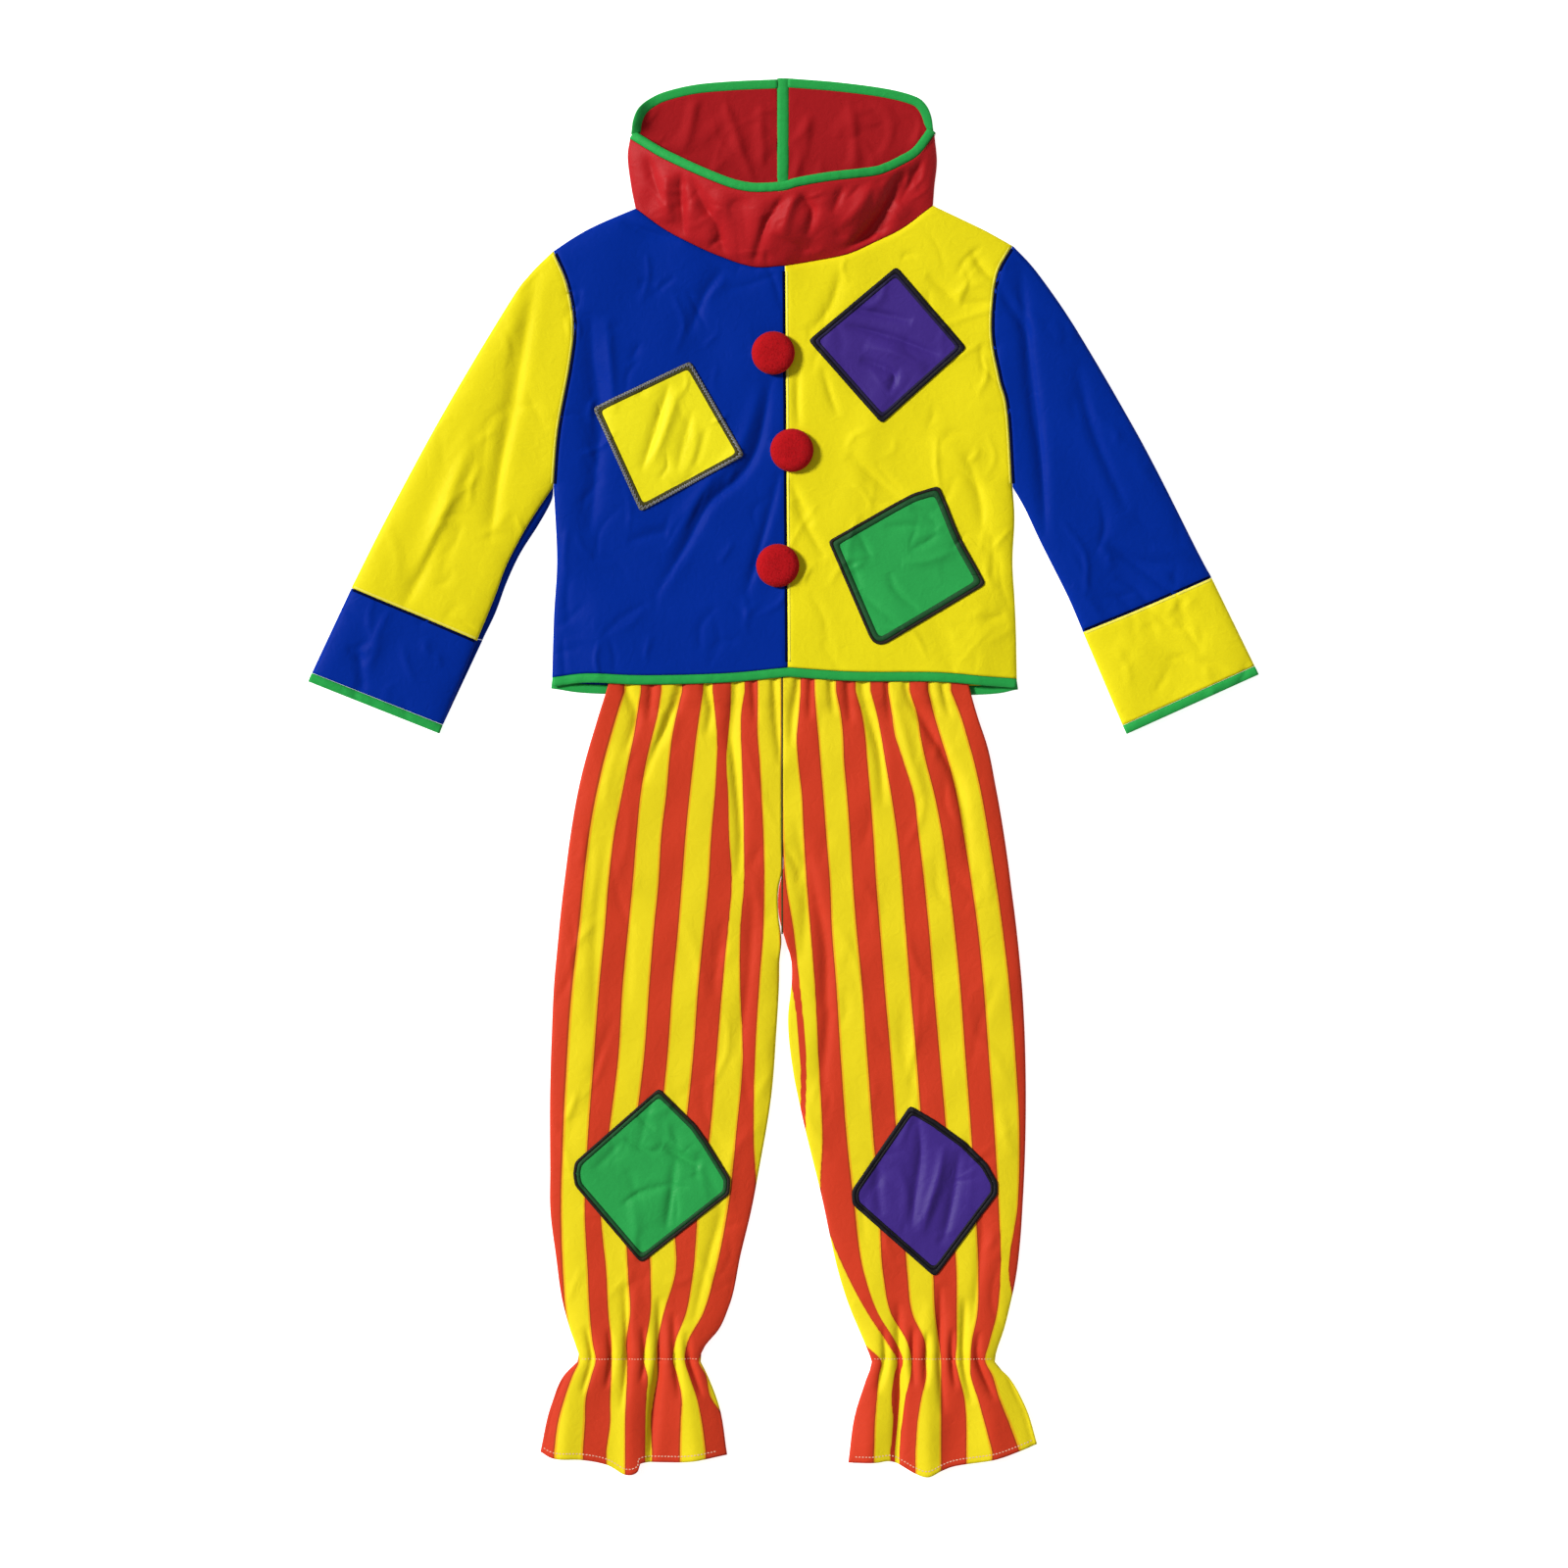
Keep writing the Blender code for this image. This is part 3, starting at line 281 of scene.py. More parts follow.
# Creases: how wide, how high or deep, how far one side leans, and the points they run through
TOP_CREASES = [
    Crease(9, -2.8, 0.3, [(-196, 475), (-194, 430), (-190, 400), (-187, 358), (-191, 306), (-197, 245)]),
    Crease(5, 1.2, 0, [(-180, 470), (-176, 420), (-172, 370)]),
    Crease(5, -2.4, 0.4, [(-11, 410), (-16, 381), (-21, 353), (-26, 335), (-34, 318), (-47, 302),
                          (-61, 291), (-78, 274), (-100, 233), (-131, 183)]),
    Crease(8, 1.5, 0, [(-23, 401), (-33, 363), (-47, 331), (-71, 305), (-99, 265), (-123, 223)]),
    Crease(5, -1.8, 0.4, [(-2, 313), (-15, 263), (-39, 181)]),
    Crease(4, -1.2, 0, [(-159, 240), (-139, 246), (-117, 250)]),
    Crease(5, -1.6, 0.4, [(-165, 567), (-135, 555), (-103, 549)]),
    Crease(4, -1.7, 0.4, [(-115, 402), (-131, 350), (-144, 311)]),
    Crease(5, 1.2, 0, [(-105, 398), (-121, 350), (-133, 320)]),
    Crease(4, -1.0, 0.3, [(-92, 375), (-108, 311)]),
    Crease(3, -0.9, 0, [(-78, 357), (-90, 315)]),
    Crease(4, -1.5, 0.4, [(16, 419), (15, 386), (17, 355)]),
    Crease(3.5, -1.2, 0, [(40, 418), (48, 391), (56, 368)]),
    Crease(4, -1.5, 0.4, [(219, 503), (204, 517), (191, 536)]),
    Crease(4, -1.3, 0, [(215, 484), (199, 483), (181, 484)]),
    Crease(5, -1.3, 0.3, [(147, 512), (167, 495), (185, 478)]),
    Crease(5, -1.7, 0.4, [(7, 303), (20, 277), (31, 257)]),
    Crease(5, -1.7, 0, [(12, 281), (26, 253), (43, 223)]),
    Crease(6, -1.8, 0.4, [(68, 330), (95, 305), (125, 281)]),
    Crease(6, -1.8, 0, [(155, 167), (165, 138), (174, 105)]),
    Crease(6, -1.8, 0.3, [(173, 155), (199, 159), (227, 166)]),
    Crease(4, -2.0, 0.3, [(71, 478), (102, 472), (132, 465)]),
    Crease(4, -2.3, 0.3, [(64, 461), (94, 454), (122, 445), (160, 430)]),
    Crease(4, -2.1, 0.3, [(79, 427), (102, 418), (114, 409), (108, 390)]),
    Crease(6, 1.6, 0, [(84, 440), (120, 430), (146, 415)]),
    Crease(4, -1.2, 0.3, [(103, 255), (130, 257), (158, 253)]),
    Crease(4, -1.2, 0.3, [(128, 231), (146, 240), (159, 249)]),
    Crease(4, -1.2, 0.3, [(130, 276), (146, 268), (160, 256)]),
    Crease(3.5, -1.1, 0.4, [(108, 209), (116, 190), (139, 170)]),
    Crease(3.5, -1.0, 0.3, [(77, 250), (84, 236), (90, 221)]),
    Crease(3.5, -1.0, 0.3, [(67, 225), (74, 208), (80, 192)]),
    Crease(3.5, -1.1, 0.3, [(77, 190), (92, 177), (105, 166), (122, 152)]),
    Crease(5, 0.9, 0, [(176, 233), (151, 221), (121, 219)]),
    Crease(6, -1.6, 0.3, [(186, 330), (200, 290), (206, 245)]),
    Crease(6, -1.4, 0.3, [(-60, 520), (-80, 490), (-95, 450)]),
    Crease(6, -1.4, -0.3, [(60, 520), (48, 480), (26, 452)]),
]
SLEEVE_CREASES = [
    Crease(7, -2.9, 0.4, [(-249, 522), (-257, 480), (-263, 445), (-278, 363), (-288, 313), (-299, 238)]),
    Crease(8, 1.8, 0, [(-317, 347), (-339, 288), (-375, 201)]),
    Crease(6, -2.0, 0.3, [(-346, 256), (-366, 212), (-387, 172)]),
    Crease(5, -1.8, 0.3, [(-432, 136), (-430, 112), (-427, 86)]),
    Crease(4, -1.9, 0.4, [(218, 503), (233, 481), (254, 447)]),
    Crease(6, -2.9, 0.4, [(242, 523), (253, 413), (264, 321), (268, 243)]),
    Crease(6, -1.9, 0.4, [(300, 420), (318, 350), (352, 270)]),
    Crease(5, -1.7, 0.3, [(330, 240), (362, 222), (396, 214)]),
]
COLLAR_CREASES = [
    Crease(5, -5, 0.4, [(-102, 622), (-103, 600), (-102, 575), (-101, 545)]),
    Crease(6, -5, 0.4, [(-94, 615), (-80, 583), (-66, 560), (-58, 528)]),
    Crease(14, -4, 0, [(-42, 604), (-40, 575), (-36, 535)]),
    Crease(6, 2.6, 0, [(-118, 612), (-120, 590), (-114, 565)]),
    Crease(5, -5, -0.4, [(4, 598), (-8, 578), (-18, 563), (-31, 520)]),
    Crease(6, 3, 0, [(24, 606), (8, 580), (-2, 548)]),
    Crease(5, -4.5, 0.4, [(8, 606), (22, 588), (31, 574), (25, 549)]),
    Crease(8, -8, -0.5, [(127, 634), (117, 612), (107, 585), (86, 555), (48, 524)]),
    Crease(7, -3.5, -0.3, [(142, 636), (133, 612), (118, 584)]),
    Crease(7, 3, 0, [(92, 606), (78, 580), (56, 556)]),
    Crease(6, -3.5, 0.3, [(-138, 637), (-132, 612), (-120, 582)]),
    Crease(5, -3, 0, [(64, 612), (58, 592), (50, 572)]),
]
COLLAR_BACK_CREASES = [
    Crease(7, 3.6, 0.3, [(-88, 706), (-92, 671), (-102, 636)]),
    Crease(6, 3.0, 0.3, [(-56, 688), (-44, 643), (-26, 600)]),
    Crease(6, 2.6, 0.3, [(-20, 700), (-22, 660), (-18, 620)]),
    Crease(6, 3.0, 0.3, [(70, 684), (73, 650), (74, 618)]),
    Crease(6, 2.4, 0.3, [(25, 681), (23, 643), (10, 605)]),
    Crease(7, 2.4, 0.3, [(104, 693), (111, 658), (95, 625)]),
    Crease(6, 2.6, -0.3, [(140, 680), (138, 655), (130, 632)]),
]
LEG_CREASES = [
    Crease(4, -3, 0.3, [(-164, 134), (-158, 88), (-149, 62), (-161, 24)]),
    Crease(3.5, -2.3, 0, [(-136, 134), (-134, 90), (-138, 56)]),
    Crease(4.5, -3.4, 0.3, [(-103, 134), (-104, 89), (-114, 62), (-131, 25), (-143, -8)]),
    Crease(4, -3, 0, [(-79, 134), (-77, 88), (-73, 69), (-78, 42)]),
    Crease(4.5, -3.4, 0, [(-48, 134), (-49, 79), (-53, 45), (-49, 12), (-43, -56), (-46, -103)]),
    Crease(3, -2.2, 0, [(-31, 134), (-30, 88), (-28, 54)]),
    Crease(4, -3.2, 0, [(-10, 134), (-9, 96), (-6, 52), (-2, 10)]),
    Crease(4, -3, 0, [(17, 134), (15, 93), (10, 62), (8, 30)]),
    Crease(3, -2.4, 0, [(30, 134), (28, 90), (27, 58)]),
    Crease(3.5, -2.5, 0, [(50, 134), (49, 92), (52, 62)]),
    Crease(3.5, -2.7, 0, [(64, 134), (66, 92), (69, 54)]),
    Crease(4.5, -3.4, 0.3, [(80, 134), (82, 89), (89, 62), (99, 25), (103, -30)]),
    Crease(3.5, -2.5, 0, [(104, 134), (106, 92), (110, 56)]),
    Crease(5, -3.4, -0.3, [(120, 134), (126, 89), (136, 69), (157, 35), (174, 1), (184, -39), (191, -97)]),
    Crease(3.5, -2.5, 0, [(146, 134), (150, 90), (158, 62)]),
    Crease(3.5, -2.3, 0, [(160, 134), (163, 92), (171, 60)]),
    Crease(6, 1.6, 0, [(-120, 110), (-124, 60), (-140, 0)]),
    Crease(6, 1.6, 0, [(112, 80), (124, 40), (140, -20)]),
    Crease(6, -2.8, 0.4, [(26, -77), (35, -125), (44, -173), (45, -229), (47, -246), (38, -332)]),
    Crease(6, -1.8, 0, [(12, -43), (20, -82), (23, -131), (20, -187)]),
    Crease(4, -1.6, 0, [(1, -69), (13, -89), (18, -111)]),
    Crease(6, -1.8, 0.3, [(-30, -120), (-34, -200), (-46, -290)]),
    Crease(7, -1.6, 0.3, [(-178, -60), (-190, -150), (-192, -260)]),
    Crease(5, -1.6, 0, [(-62, -440), (-78, -500), (-92, -560)]),
    Crease(5, -1.6, 0, [(204, -440), (200, -500), (192, -560)]),
    Crease(4, -2.6, 0.3, [(-121, -376), (-104, -387), (-88, -395)]),
    Crease(4, 1.2, 0, [(-118, -368), (-102, -378), (-86, -385)]),
    Crease(3, -1.3, 0, [(-86, -387), (-88, -399), (-90, -411)]),
    Crease(4, -2.2, 0.3, [(-109, -388), (-113, -422), (-119, -462)]),
    Crease(3.5, -1.8, 0.3, [(-165, -436), (-147, -424), (-114, -414)]),
    Crease(3.5, -1.2, 0, [(-149, -345), (-140, -352), (-130, -359)]),
    Crease(3.5, -1.3, 0, [(-163, -368), (-135, -382), (-120, -375)]),
    Crease(3.5, -1.2, 0, [(-163, -369), (-178, -386), (-193, -401)]),
    Crease(5, -2.4, 0.3, [(138, -345), (141, -384), (136, -421), (131, -461)]),
    Crease(5, -2.4, 0.3, [(180, -380), (175, -421), (167, -459), (159, -479)]),
    Crease(5, -2.1, 0.3, [(98, -390), (97, -421), (101, -448)]),
    Crease(5, 1.9, 0, [(164, -376), (158, -409), (148, -440), (141, -467)]),
]
# Tucks where the elastic gathers each ankle
ANKLE_CREASES = [
    Crease(3.5, -3.2, 0, [(-201, -560), (-195, -593), (-205, -628)]),
    Crease(3, -3.2, 0, [(-178, -562), (-175, -593), (-180, -624)]),
    Crease(4, -3.4, 0, [(-161, -516), (-159, -593), (-165, -645)]),
    Crease(3, -3.2, 0, [(-143, -560), (-141, -593), (-145, -618)]),
    Crease(4.5, -4.4, -0.4, [(-127, -530), (-127, -593), (-133, -645), (-137, -716)]),
    Crease(3.5, -3.4, 0, [(-112, -545), (-110, -593), (-105, -635)]),
    Crease(3.5, -3.2, 0.3, [(-98, -565), (-95, -593), (-82, -632)]),
    Crease(3.5, -3.2, 0, [(102, -560), (104, -593), (96, -628)]),
    Crease(4.5, -4.4, 0.4, [(118, -535), (119, -593), (120, -640), (116, -712)]),
    Crease(3, -3.2, 0, [(133, -560), (132, -593), (134, -620)]),
    Crease(3, -3.2, 0, [(147, -565), (146, -593), (145, -622)]),
    Crease(4, -3.4, 0, [(161, -516), (160, -593), (164, -650)]),
    Crease(3, -3.2, 0, [(173, -562), (172, -593), (176, -624)]),
    Crease(4, -3.3, 0, [(186, -530), (184, -593), (193, -640)]),
    Crease(3.5, -3.0, 0.3, [(200, -565), (199, -593), (216, -635)]),
]
RUFFLE_CREASES = [
    Crease(14, 4.2, 0, [(-152, -600), (-155, -670), (-155, -760)]),
    Crease(12, 2.6, 0, [(-215, -600), (-222, -670), (-226, -760)]),
    Crease(13, 2.8, 0, [(-100, -600), (-92, -670), (-88, -760)]),
    Crease(14, 4.4, 0, [(146, -600), (148, -670), (149, -760)]),
    Crease(12, 2.6, 0, [(95, -600), (89, -670), (86, -760)]),
    Crease(15, 3.0, 0, [(200, -600), (214, -670), (222, -760)]),
]

BORDERS = {
    "black": Border(7.5, 0.58, "slate_thread", "black_thread", 0.9, 1.5),
    "knee_black": Border(7, 0.6, "black_thread", "black_thread", 0.9, 1.5),
    "dark_green": Border(8.5, 0.38, "green_thread", "brown_thread", 0.9, 1.5),
    "knee_green": Border(7, 0.45, "green_thread", "brown_thread", 0.9, 1.5),
    "overlock": Border(6.4, 0.5, "olive_thread_and_seam_shade", "gold_thread", 0.7, 2.0),
}
PATCHES = [
    Patch("chest_yellow", "top", "patch_yellow", "yellow_patch", "overlock",
          [(-194, 376.5), (-145.5, 270), (-39, 327.5), (-94.5, 424)], ()),
    Patch("chest_purple", "top", "patch_purple", "purple_patch", "black",
          [(115.5, 520.5), (25.6, 445), (100.6, 360), (187, 437.5)], ()),
    Patch("chest_green", "top", "patch_green", "green_patch", "dark_green",
          [(46, 240.5), (88, 143), (92, 137), (98, 134.5), (105, 136), (207, 196.5), (159, 297.5),
           (132, 289), (116, 280.5)], ((183, 247, 36, 3),)),
    Patch("knee_green", "right", "patch_green", "green_patch", "knee_green",
          [(-126.5, -317), (-212, -392), (-214, -404), (-212, -416.5), (-144.5, -495.5), (-54.5, -425),
           (-53.5, -409), (-77, -371), (-89, -354)], ()),
    Patch("knee_purple", "left", "patch_purple", "purple_patch", "knee_black",
          [(129.5, -334.5), (70, -421), (70.5, -435.5), (155, -510), (218.5, -425), (218.5, -413),
           (208, -394), (185.5, -371.5), (155, -349.5)], ()),
]
CARRIERS = {
    "chest_yellow": "front_right_cloth", "chest_purple": "front_left_cloth",
    "chest_green": "front_left_cloth", "knee_green": "leg_right_front_cloth",
    "knee_purple": "leg_left_front_cloth",
}
BUTTONS = [Button("top", -10, 432), Button("middle", 9, 333), Button("low", -5.4, 215.5)]

# Lines beside a seam, with their two edges measured from the seam towards the blue cloth
SEAM_LINES = [
    SeamLine("navy", "blue_satin", -0.2, 2.7, 0.12),
    # The pale line is a painted highlight along the yellow cloth's edge
    SeamLine("pale_highlight", "yellow_satin", -0.7, -2.9, 0.25),
]
SEAM_LINE_ACROSS = (0, 0.35, 0.65, 1)
SEAM_LINE_CROWN = (0.3, 1, 1, 0.3)
LEG_SEAM_ACROSS = (-0.2, 0.3, 0.9, 1.4)

# Colour, roughness, sheen, gloss, then the weave's repeat in millimetres and how deep it reads
FINISHES = {
    "blue": ((0.0005, 0.0225, 0.285), 0.5, 0.0, 0.03, 0.9, 0.10),
    "yellow": ((0.775, 0.67, 0.009), 0.5, 0.0, 0.04, 0.9, 0.10),
    "red": ((0.425, 0.0115, 0.015), 0.5, 0.0, 0.09, 0.7, 0.08),
    # The collar's inside: the red darkened with painted shade, and matte as the cloth's wrong side
    "red_inside_painted_shade": ((0.345, 0.0095, 0.0125), 0.7, 0.0, 0.05, 0.7, 0.08),
    "green": ((0.021, 0.34, 0.066), 0.5, 0.0, 0.06, 0.8, 0.15),
    "yellow_patch": ((0.80, 0.715, 0.012), 0.45, 0.0, 0.06, 0.7, 0.10),
    "purple_patch": ((0.047, 0.020, 0.215), 0.5, 0.0, 0.14, 0.6, 0.08),
    "green_patch": ((0.024, 0.34, 0.072), 0.42, 0.0, 0.08, 0.6, 0.08),
    "button": ((0.46, 0.008, 0.012), 0.9, 0.2, 0.04, 1.4, 0.6),
    "black_thread": ((0.006, 0.005, 0.008), 0.6, 0.0, 0.2, 0.5, 0.3),
    "brown_thread": ((0.014, 0.010, 0.006), 0.6, 0.0, 0.2, 0.5, 0.3),
    "green_thread": ((0.008, 0.07, 0.018), 0.6, 0.0, 0.2, 0.5, 0.3),
    # Dark olive: real thread round the yellow patch, and painted shade along the legs' seam
    "olive_thread_and_seam_shade": ((0.055, 0.05, 0.008), 0.6, 0.0, 0.2, 0.5, 0.3),
    "gold_thread": ((0.12, 0.11, 0.07), 0.6, 0.0, 0.2, 0.5, 0.3),
    "pale_thread": ((0.80, 0.47, 0.34), 0.6, 0.0, 0.2, 0.5, 0.3),
    "slate_thread": ((0.018, 0.014, 0.045), 0.6, 0.0, 0.1, 0.5, 0.3),
    "navy_seam": ((0.001, 0.003, 0.030), 0.8, 0.0, 0.02, 0.5, 0.3),
    # Painted highlight: a paler yellow for the lit edge of the yellow cloth beside its seams
    "pale_highlight_seam": ((0.84, 0.76, 0.09), 0.7, 0.0, 0.05, 0.5, 0.3),
    "pale_grey_thread": ((0.26, 0.27, 0.30), 0.6, 0.0, 0.2, 0.5, 0.3),
}
WRINKLE = 0.42

# Scale at which a wave texture repeats once in each unit of length
WAVE_OF_ONE = 0.314

STRIPE_RED = (0.62, 0.045, 0.016)
STRIPE_YELLOW = (0.83, 0.68, 0.012)
STRIPE_DARK_LINE = (0.40, 0.045, 0.008)
STRIPE_GOLD_LINE = (0.86, 0.42, 0.012)

# How many points the grids have, for each length between the named corners
SHOULDER_STEPS, NECK_STEPS = 38, 76
SIDE_STEPS, ARMHOLE_STEPS = 80, 102
SLEEVE_ACROSS, SLEEVE_DOWN, CUFF_DOWN = 48, 130, 34
COLLAR_STEPS_UP = 52
LEG_ACROSS, LEG_DOWN = 84, 282
CASING_ACROSS, CASING_UP = 300, 14
BACK_SHARE = 3
BAND_ACROSS = 9
PATCH_RINGS, PATCH_AROUND, PATCH_EASE = 27, 230, 3
BORDER_LOOPS, BORDER_AROUND, BORDER_EASE = 6, 620, 14
ZIGZAG_POINTS, ZIGZAG_EASE = 260, 3
ZIGZAG_BETWEEN = (0.2, 3.6)
PATCH_INSET = 0.8
BUTTON_RINGS, BUTTON_AROUND = 34, 120

# Light, floor and camera. The camera shows a square this wide, in metres, from straight above
FLOOR_HALF, FLOOR_Z = 4000, -0.4
FLOOR_SHADE, FLOOR_GLOW = 0.93, 0.78
STUDIO_LIGHT = 0.23
SUNS = [
    Sun("key", (-0.74, 0.30, 0.66), 12, 3.9, (1, 0.99, 0.97)),
    Sun("fill", (0.5, -0.4, 0.9), 60, 0.16, (0.97, 0.98, 1)),
]
SHOWN_WIDTH = 1.6
LENS, SENSOR_WIDTH = 135, 36
CAMERA_X, CAMERA_Y = 0.001, -0.007


# Curves and grids

def spline(points, steps=10):
    """Smooth curve through the points, as a dense row of points."""
    points = np.array(points, float)
    if len(points) < 3:
        return points
    padded = np.vstack([2 * points[0] - points[1], points, 2 * points[-1] - points[-2]])
    t = np.linspace(0, 1, steps, endpoint=False)[:, None]
    pieces = []
    for a, b, c, d in zip(padded, padded[1:], padded[2:], padded[3:]):
        bend = (2 * a - 5 * b + 4 * c - d) * t**2 + (3 * b - 3 * c + d - a) * t**3
        pieces.append(0.5 * (2 * b + (c - a) * t + bend))
    return np.vstack(pieces + [points[-1:]])


def lengths_along(line):
    """How far along the line each of its points is."""
    return np.concatenate([[0], np.cumsum(np.hypot(*np.diff(line, axis=0).T))])


def cut_evenly(line, count):
    """The line, cut again into count equal lengths."""
    along = lengths_along(line)
    at = np.linspace(0, along[-1], count + 1)
    return np.column_stack([np.interp(at, along, line[:, 0]), np.interp(at, along, line[:, 1])])


def edge(points, count):
    """The curve through the points, cut into count equal lengths."""
    return cut_evenly(spline(points), count)


def join(*edges):
    """Edges that follow each other, as one."""
    return np.vstack([edges[0]] + [e[1:] for e in edges[1:]])


def beside(line, width):
    """The line moved sideways, to the left of its own direction for a positive width."""
    along = np.gradient(line, axis=0)
    along /= np.hypot(along[:, 0], along[:, 1])[:, None]
    return line + width * np.column_stack([-along[:, 1], along[:, 0]])


def coons(bottom, top, left, right):
    """Grid of points between four edges. bottom and top run the same way, and left and right run up."""
    u = np.linspace(0, 1, len(bottom))[None, :, None]
    v = np.linspace(0, 1, len(left))[:, None, None]
    across = (1 - v) * bottom[None] + v * top[None]
    upward = (1 - u) * left[:, None] + u * right[:, None]
    corners = (1 - v) * ((1 - u) * bottom[0] + u * bottom[-1]) + v * ((1 - u) * top[0] + u * top[-1])
    return across + upward - corners


def through_rows(ys, values, at):
    """Smooth values at any height between the rows of a table."""
    order = np.argsort(ys)
    ys, values = np.array(ys, float)[order], np.array(values, float)[order]
    slopes = np.gradient(values, ys)
    i = np.clip(np.searchsorted(ys, at) - 1, 0, len(ys) - 2)
    step = ys[i + 1] - ys[i]
    t = np.clip((at - ys[i]) / step, 0, 1)
    start = values[i] * (1 + 2 * t) * (1 - t) ** 2 + slopes[i] * step * t * (1 - t) ** 2
    end = values[i + 1] * t**2 * (3 - 2 * t) + slopes[i + 1] * step * t**2 * (t - 1)
    return start + end


def ease(t):
    t = np.clip(t, 0, 1)
    return t * t * (3 - 2 * t)


# Heights of the cloth over the ground

def fold_height(x, y, folds):
    """Sum of the soft ridges and troughs of a table, each fading out at its two ends."""
    total = np.zeros_like(x)
    for fold in folds:
        dx, dy = fold.x1 - fold.x0, fold.y1 - fold.y0
        length = np.hypot(dx, dy)
        t = np.clip(((x - fold.x0) * dx + (y - fold.y0) * dy) / length**2, 0, 1)
        away = ((x - fold.x0) * dy - (y - fold.y0) * dx) / length
        total += fold.height * np.sin(np.pi * t) ** 0.7 * np.exp(-((away / fold.width) ** 2))
    return total


def nearest_on(x, y, line):
    """Signed distance of each point from the line, and how far along it the nearest place is, 0 to 1."""
    lengths = np.hypot(*np.diff(line, axis=0).T)
    starts = np.concatenate([[0], np.cumsum(lengths)])
    nearest = np.full(x.shape, np.inf)
    side, along = np.ones(x.shape), np.zeros(x.shape)
    for (ax, ay), (bx, by), start, length in zip(line, line[1:], starts, lengths):
        dx, dy = bx - ax, by - ay
        t = np.clip(((x - ax) * dx + (y - ay) * dy) / (length**2 + 1e-9), 0, 1)
        away = np.hypot(x - ax - t * dx, y - ay - t * dy)
        closer = away < nearest
        nearest = np.where(closer, away, nearest)
        side = np.where(closer, np.sign((x - ax) * dy - (y - ay) * dx), side)
        along = np.where(closer, (start + t * length) / starts[-1], along)
    return nearest * side, along


def crease_height(x, y, creases):
    """Sum of bent ridges and troughs. A lean lifts one side and drops the other, as a soft fold does."""
    total = np.zeros(x.shape)
    for crease in creases:
        line = spline(crease.points, 4)
        reach = 3 * crease.width
        low, high = line.min(axis=0) - reach, line.max(axis=0) + reach
        near = (x > low[0]) & (x < high[0]) & (y > low[1]) & (y < high[1])
        if not near.any():
            continue
        away, along = nearest_on(x[near], y[near], line)
        share = away / crease.width
        bump = np.exp(-np.abs(share) ** (1.35 if crease.height < 0 else 1.8))
        total[near] += crease.height * np.sin(np.pi * along) ** 0.6 * bump * (1 + crease.lean * share)
    return total


def crumples(seed, count, box, heading, spread, length, width, height):
    """Small creases at random places in the box, most of them close to one heading, in degrees."""
    random = np.random.default_rng(seed)
    made = []
    for _ in range(count):
        x, y = random.uniform(box[0], box[1]), random.uniform(box[2], box[3])
        turn = np.radians(random.normal(heading, spread))
        half = random.uniform(*length) / 2
        step = half * np.array([np.cos(turn), np.sin(turn)])
        bend = random.normal(0, 0.12) * 2 * half * np.array([-np.sin(turn), np.cos(turn)])
        middle = np.array([x, y])
        made.append(Crease(random.uniform(*width), random.uniform(*height) * random.choice([-1, 1]),
                           random.uniform(-0.6, 0.6), [middle - step, middle + bend, middle + step]))
    return made


def swell(x, y, seed, size, amount):
    """Slow uneven rise and fall of cloth that isn't pressed flat."""
    random = np.random.default_rng(seed)
    total = np.zeros_like(x)
    for _ in range(7):
        turn, phase = random.uniform(0, 2 * np.pi, 2)
        wave = 2 * np.pi / (size * random.uniform(0.6, 1.6))
        total += np.sin(wave * (x * np.cos(turn) + y * np.sin(turn)) + phase)
    return amount * total / 2.6


def edge_distance(x, y, lines):
    """How far each point is from the nearest of the lines."""
    nearest = np.full(x.shape, np.inf)
    for line in lines:
        for (ax, ay), (bx, by) in zip(line, line[1:]):
            dx, dy = bx - ax, by - ay
            t = np.clip(((x - ax) * dx + (y - ay) * dy) / (dx * dx + dy * dy + 1e-9), 0, 1)
            nearest = np.minimum(nearest, np.hypot(x - ax - t * dx, y - ay - t * dy))
    return nearest


def settle(height, floor, bend):
    """Keeps a height over the floor, with a soft bend where it would go under."""
    return floor + bend * np.logaddexp(0, (height - floor) / bend)


def loft(x, y, lines, reach):
    """Quarter round from the folded edge of the garment, 0 at the edge and 1 past its reach."""
    t = np.clip(edge_distance(x, y, lines) / reach, 0, 1)
    return np.sqrt(1 - (1 - t) ** 2)


TOP_EDGES = [
    join(edge(SIDE_RIGHT, 6), edge(INNER_RIGHT, 6), edge([INNER_RIGHT[-1], CUFF_HEM_RIGHT[1]], 2)),
    join(edge(SIDE_LEFT, 6), edge(INNER_LEFT, 6), edge([INNER_LEFT[-1], CUFF_HEM_LEFT[1]], 2)),
    join(edge(OUTER_RIGHT, 6), edge([OUTER_RIGHT[-1], CUFF_HEM_RIGHT[0]], 2)),
    join(edge(OUTER_LEFT, 6), edge([OUTER_LEFT[-1], CUFF_HEM_LEFT[0]], 2)),
    join(edge(SHOULDER_RIGHT, 2), edge(COLLAR_SIDE_RIGHT, 3)),
    join(edge(SHOULDER_LEFT, 2), edge(COLLAR_SIDE_LEFT, 3)),
]
TOP_SEAMS = [edge(line, 12) for line in (ARMHOLE_RIGHT, ARMHOLE_LEFT, CENTRE, CUFF_SEAM_RIGHT,
                                         CUFF_SEAM_LEFT, NECK_RIGHT, NECK_LEFT)]
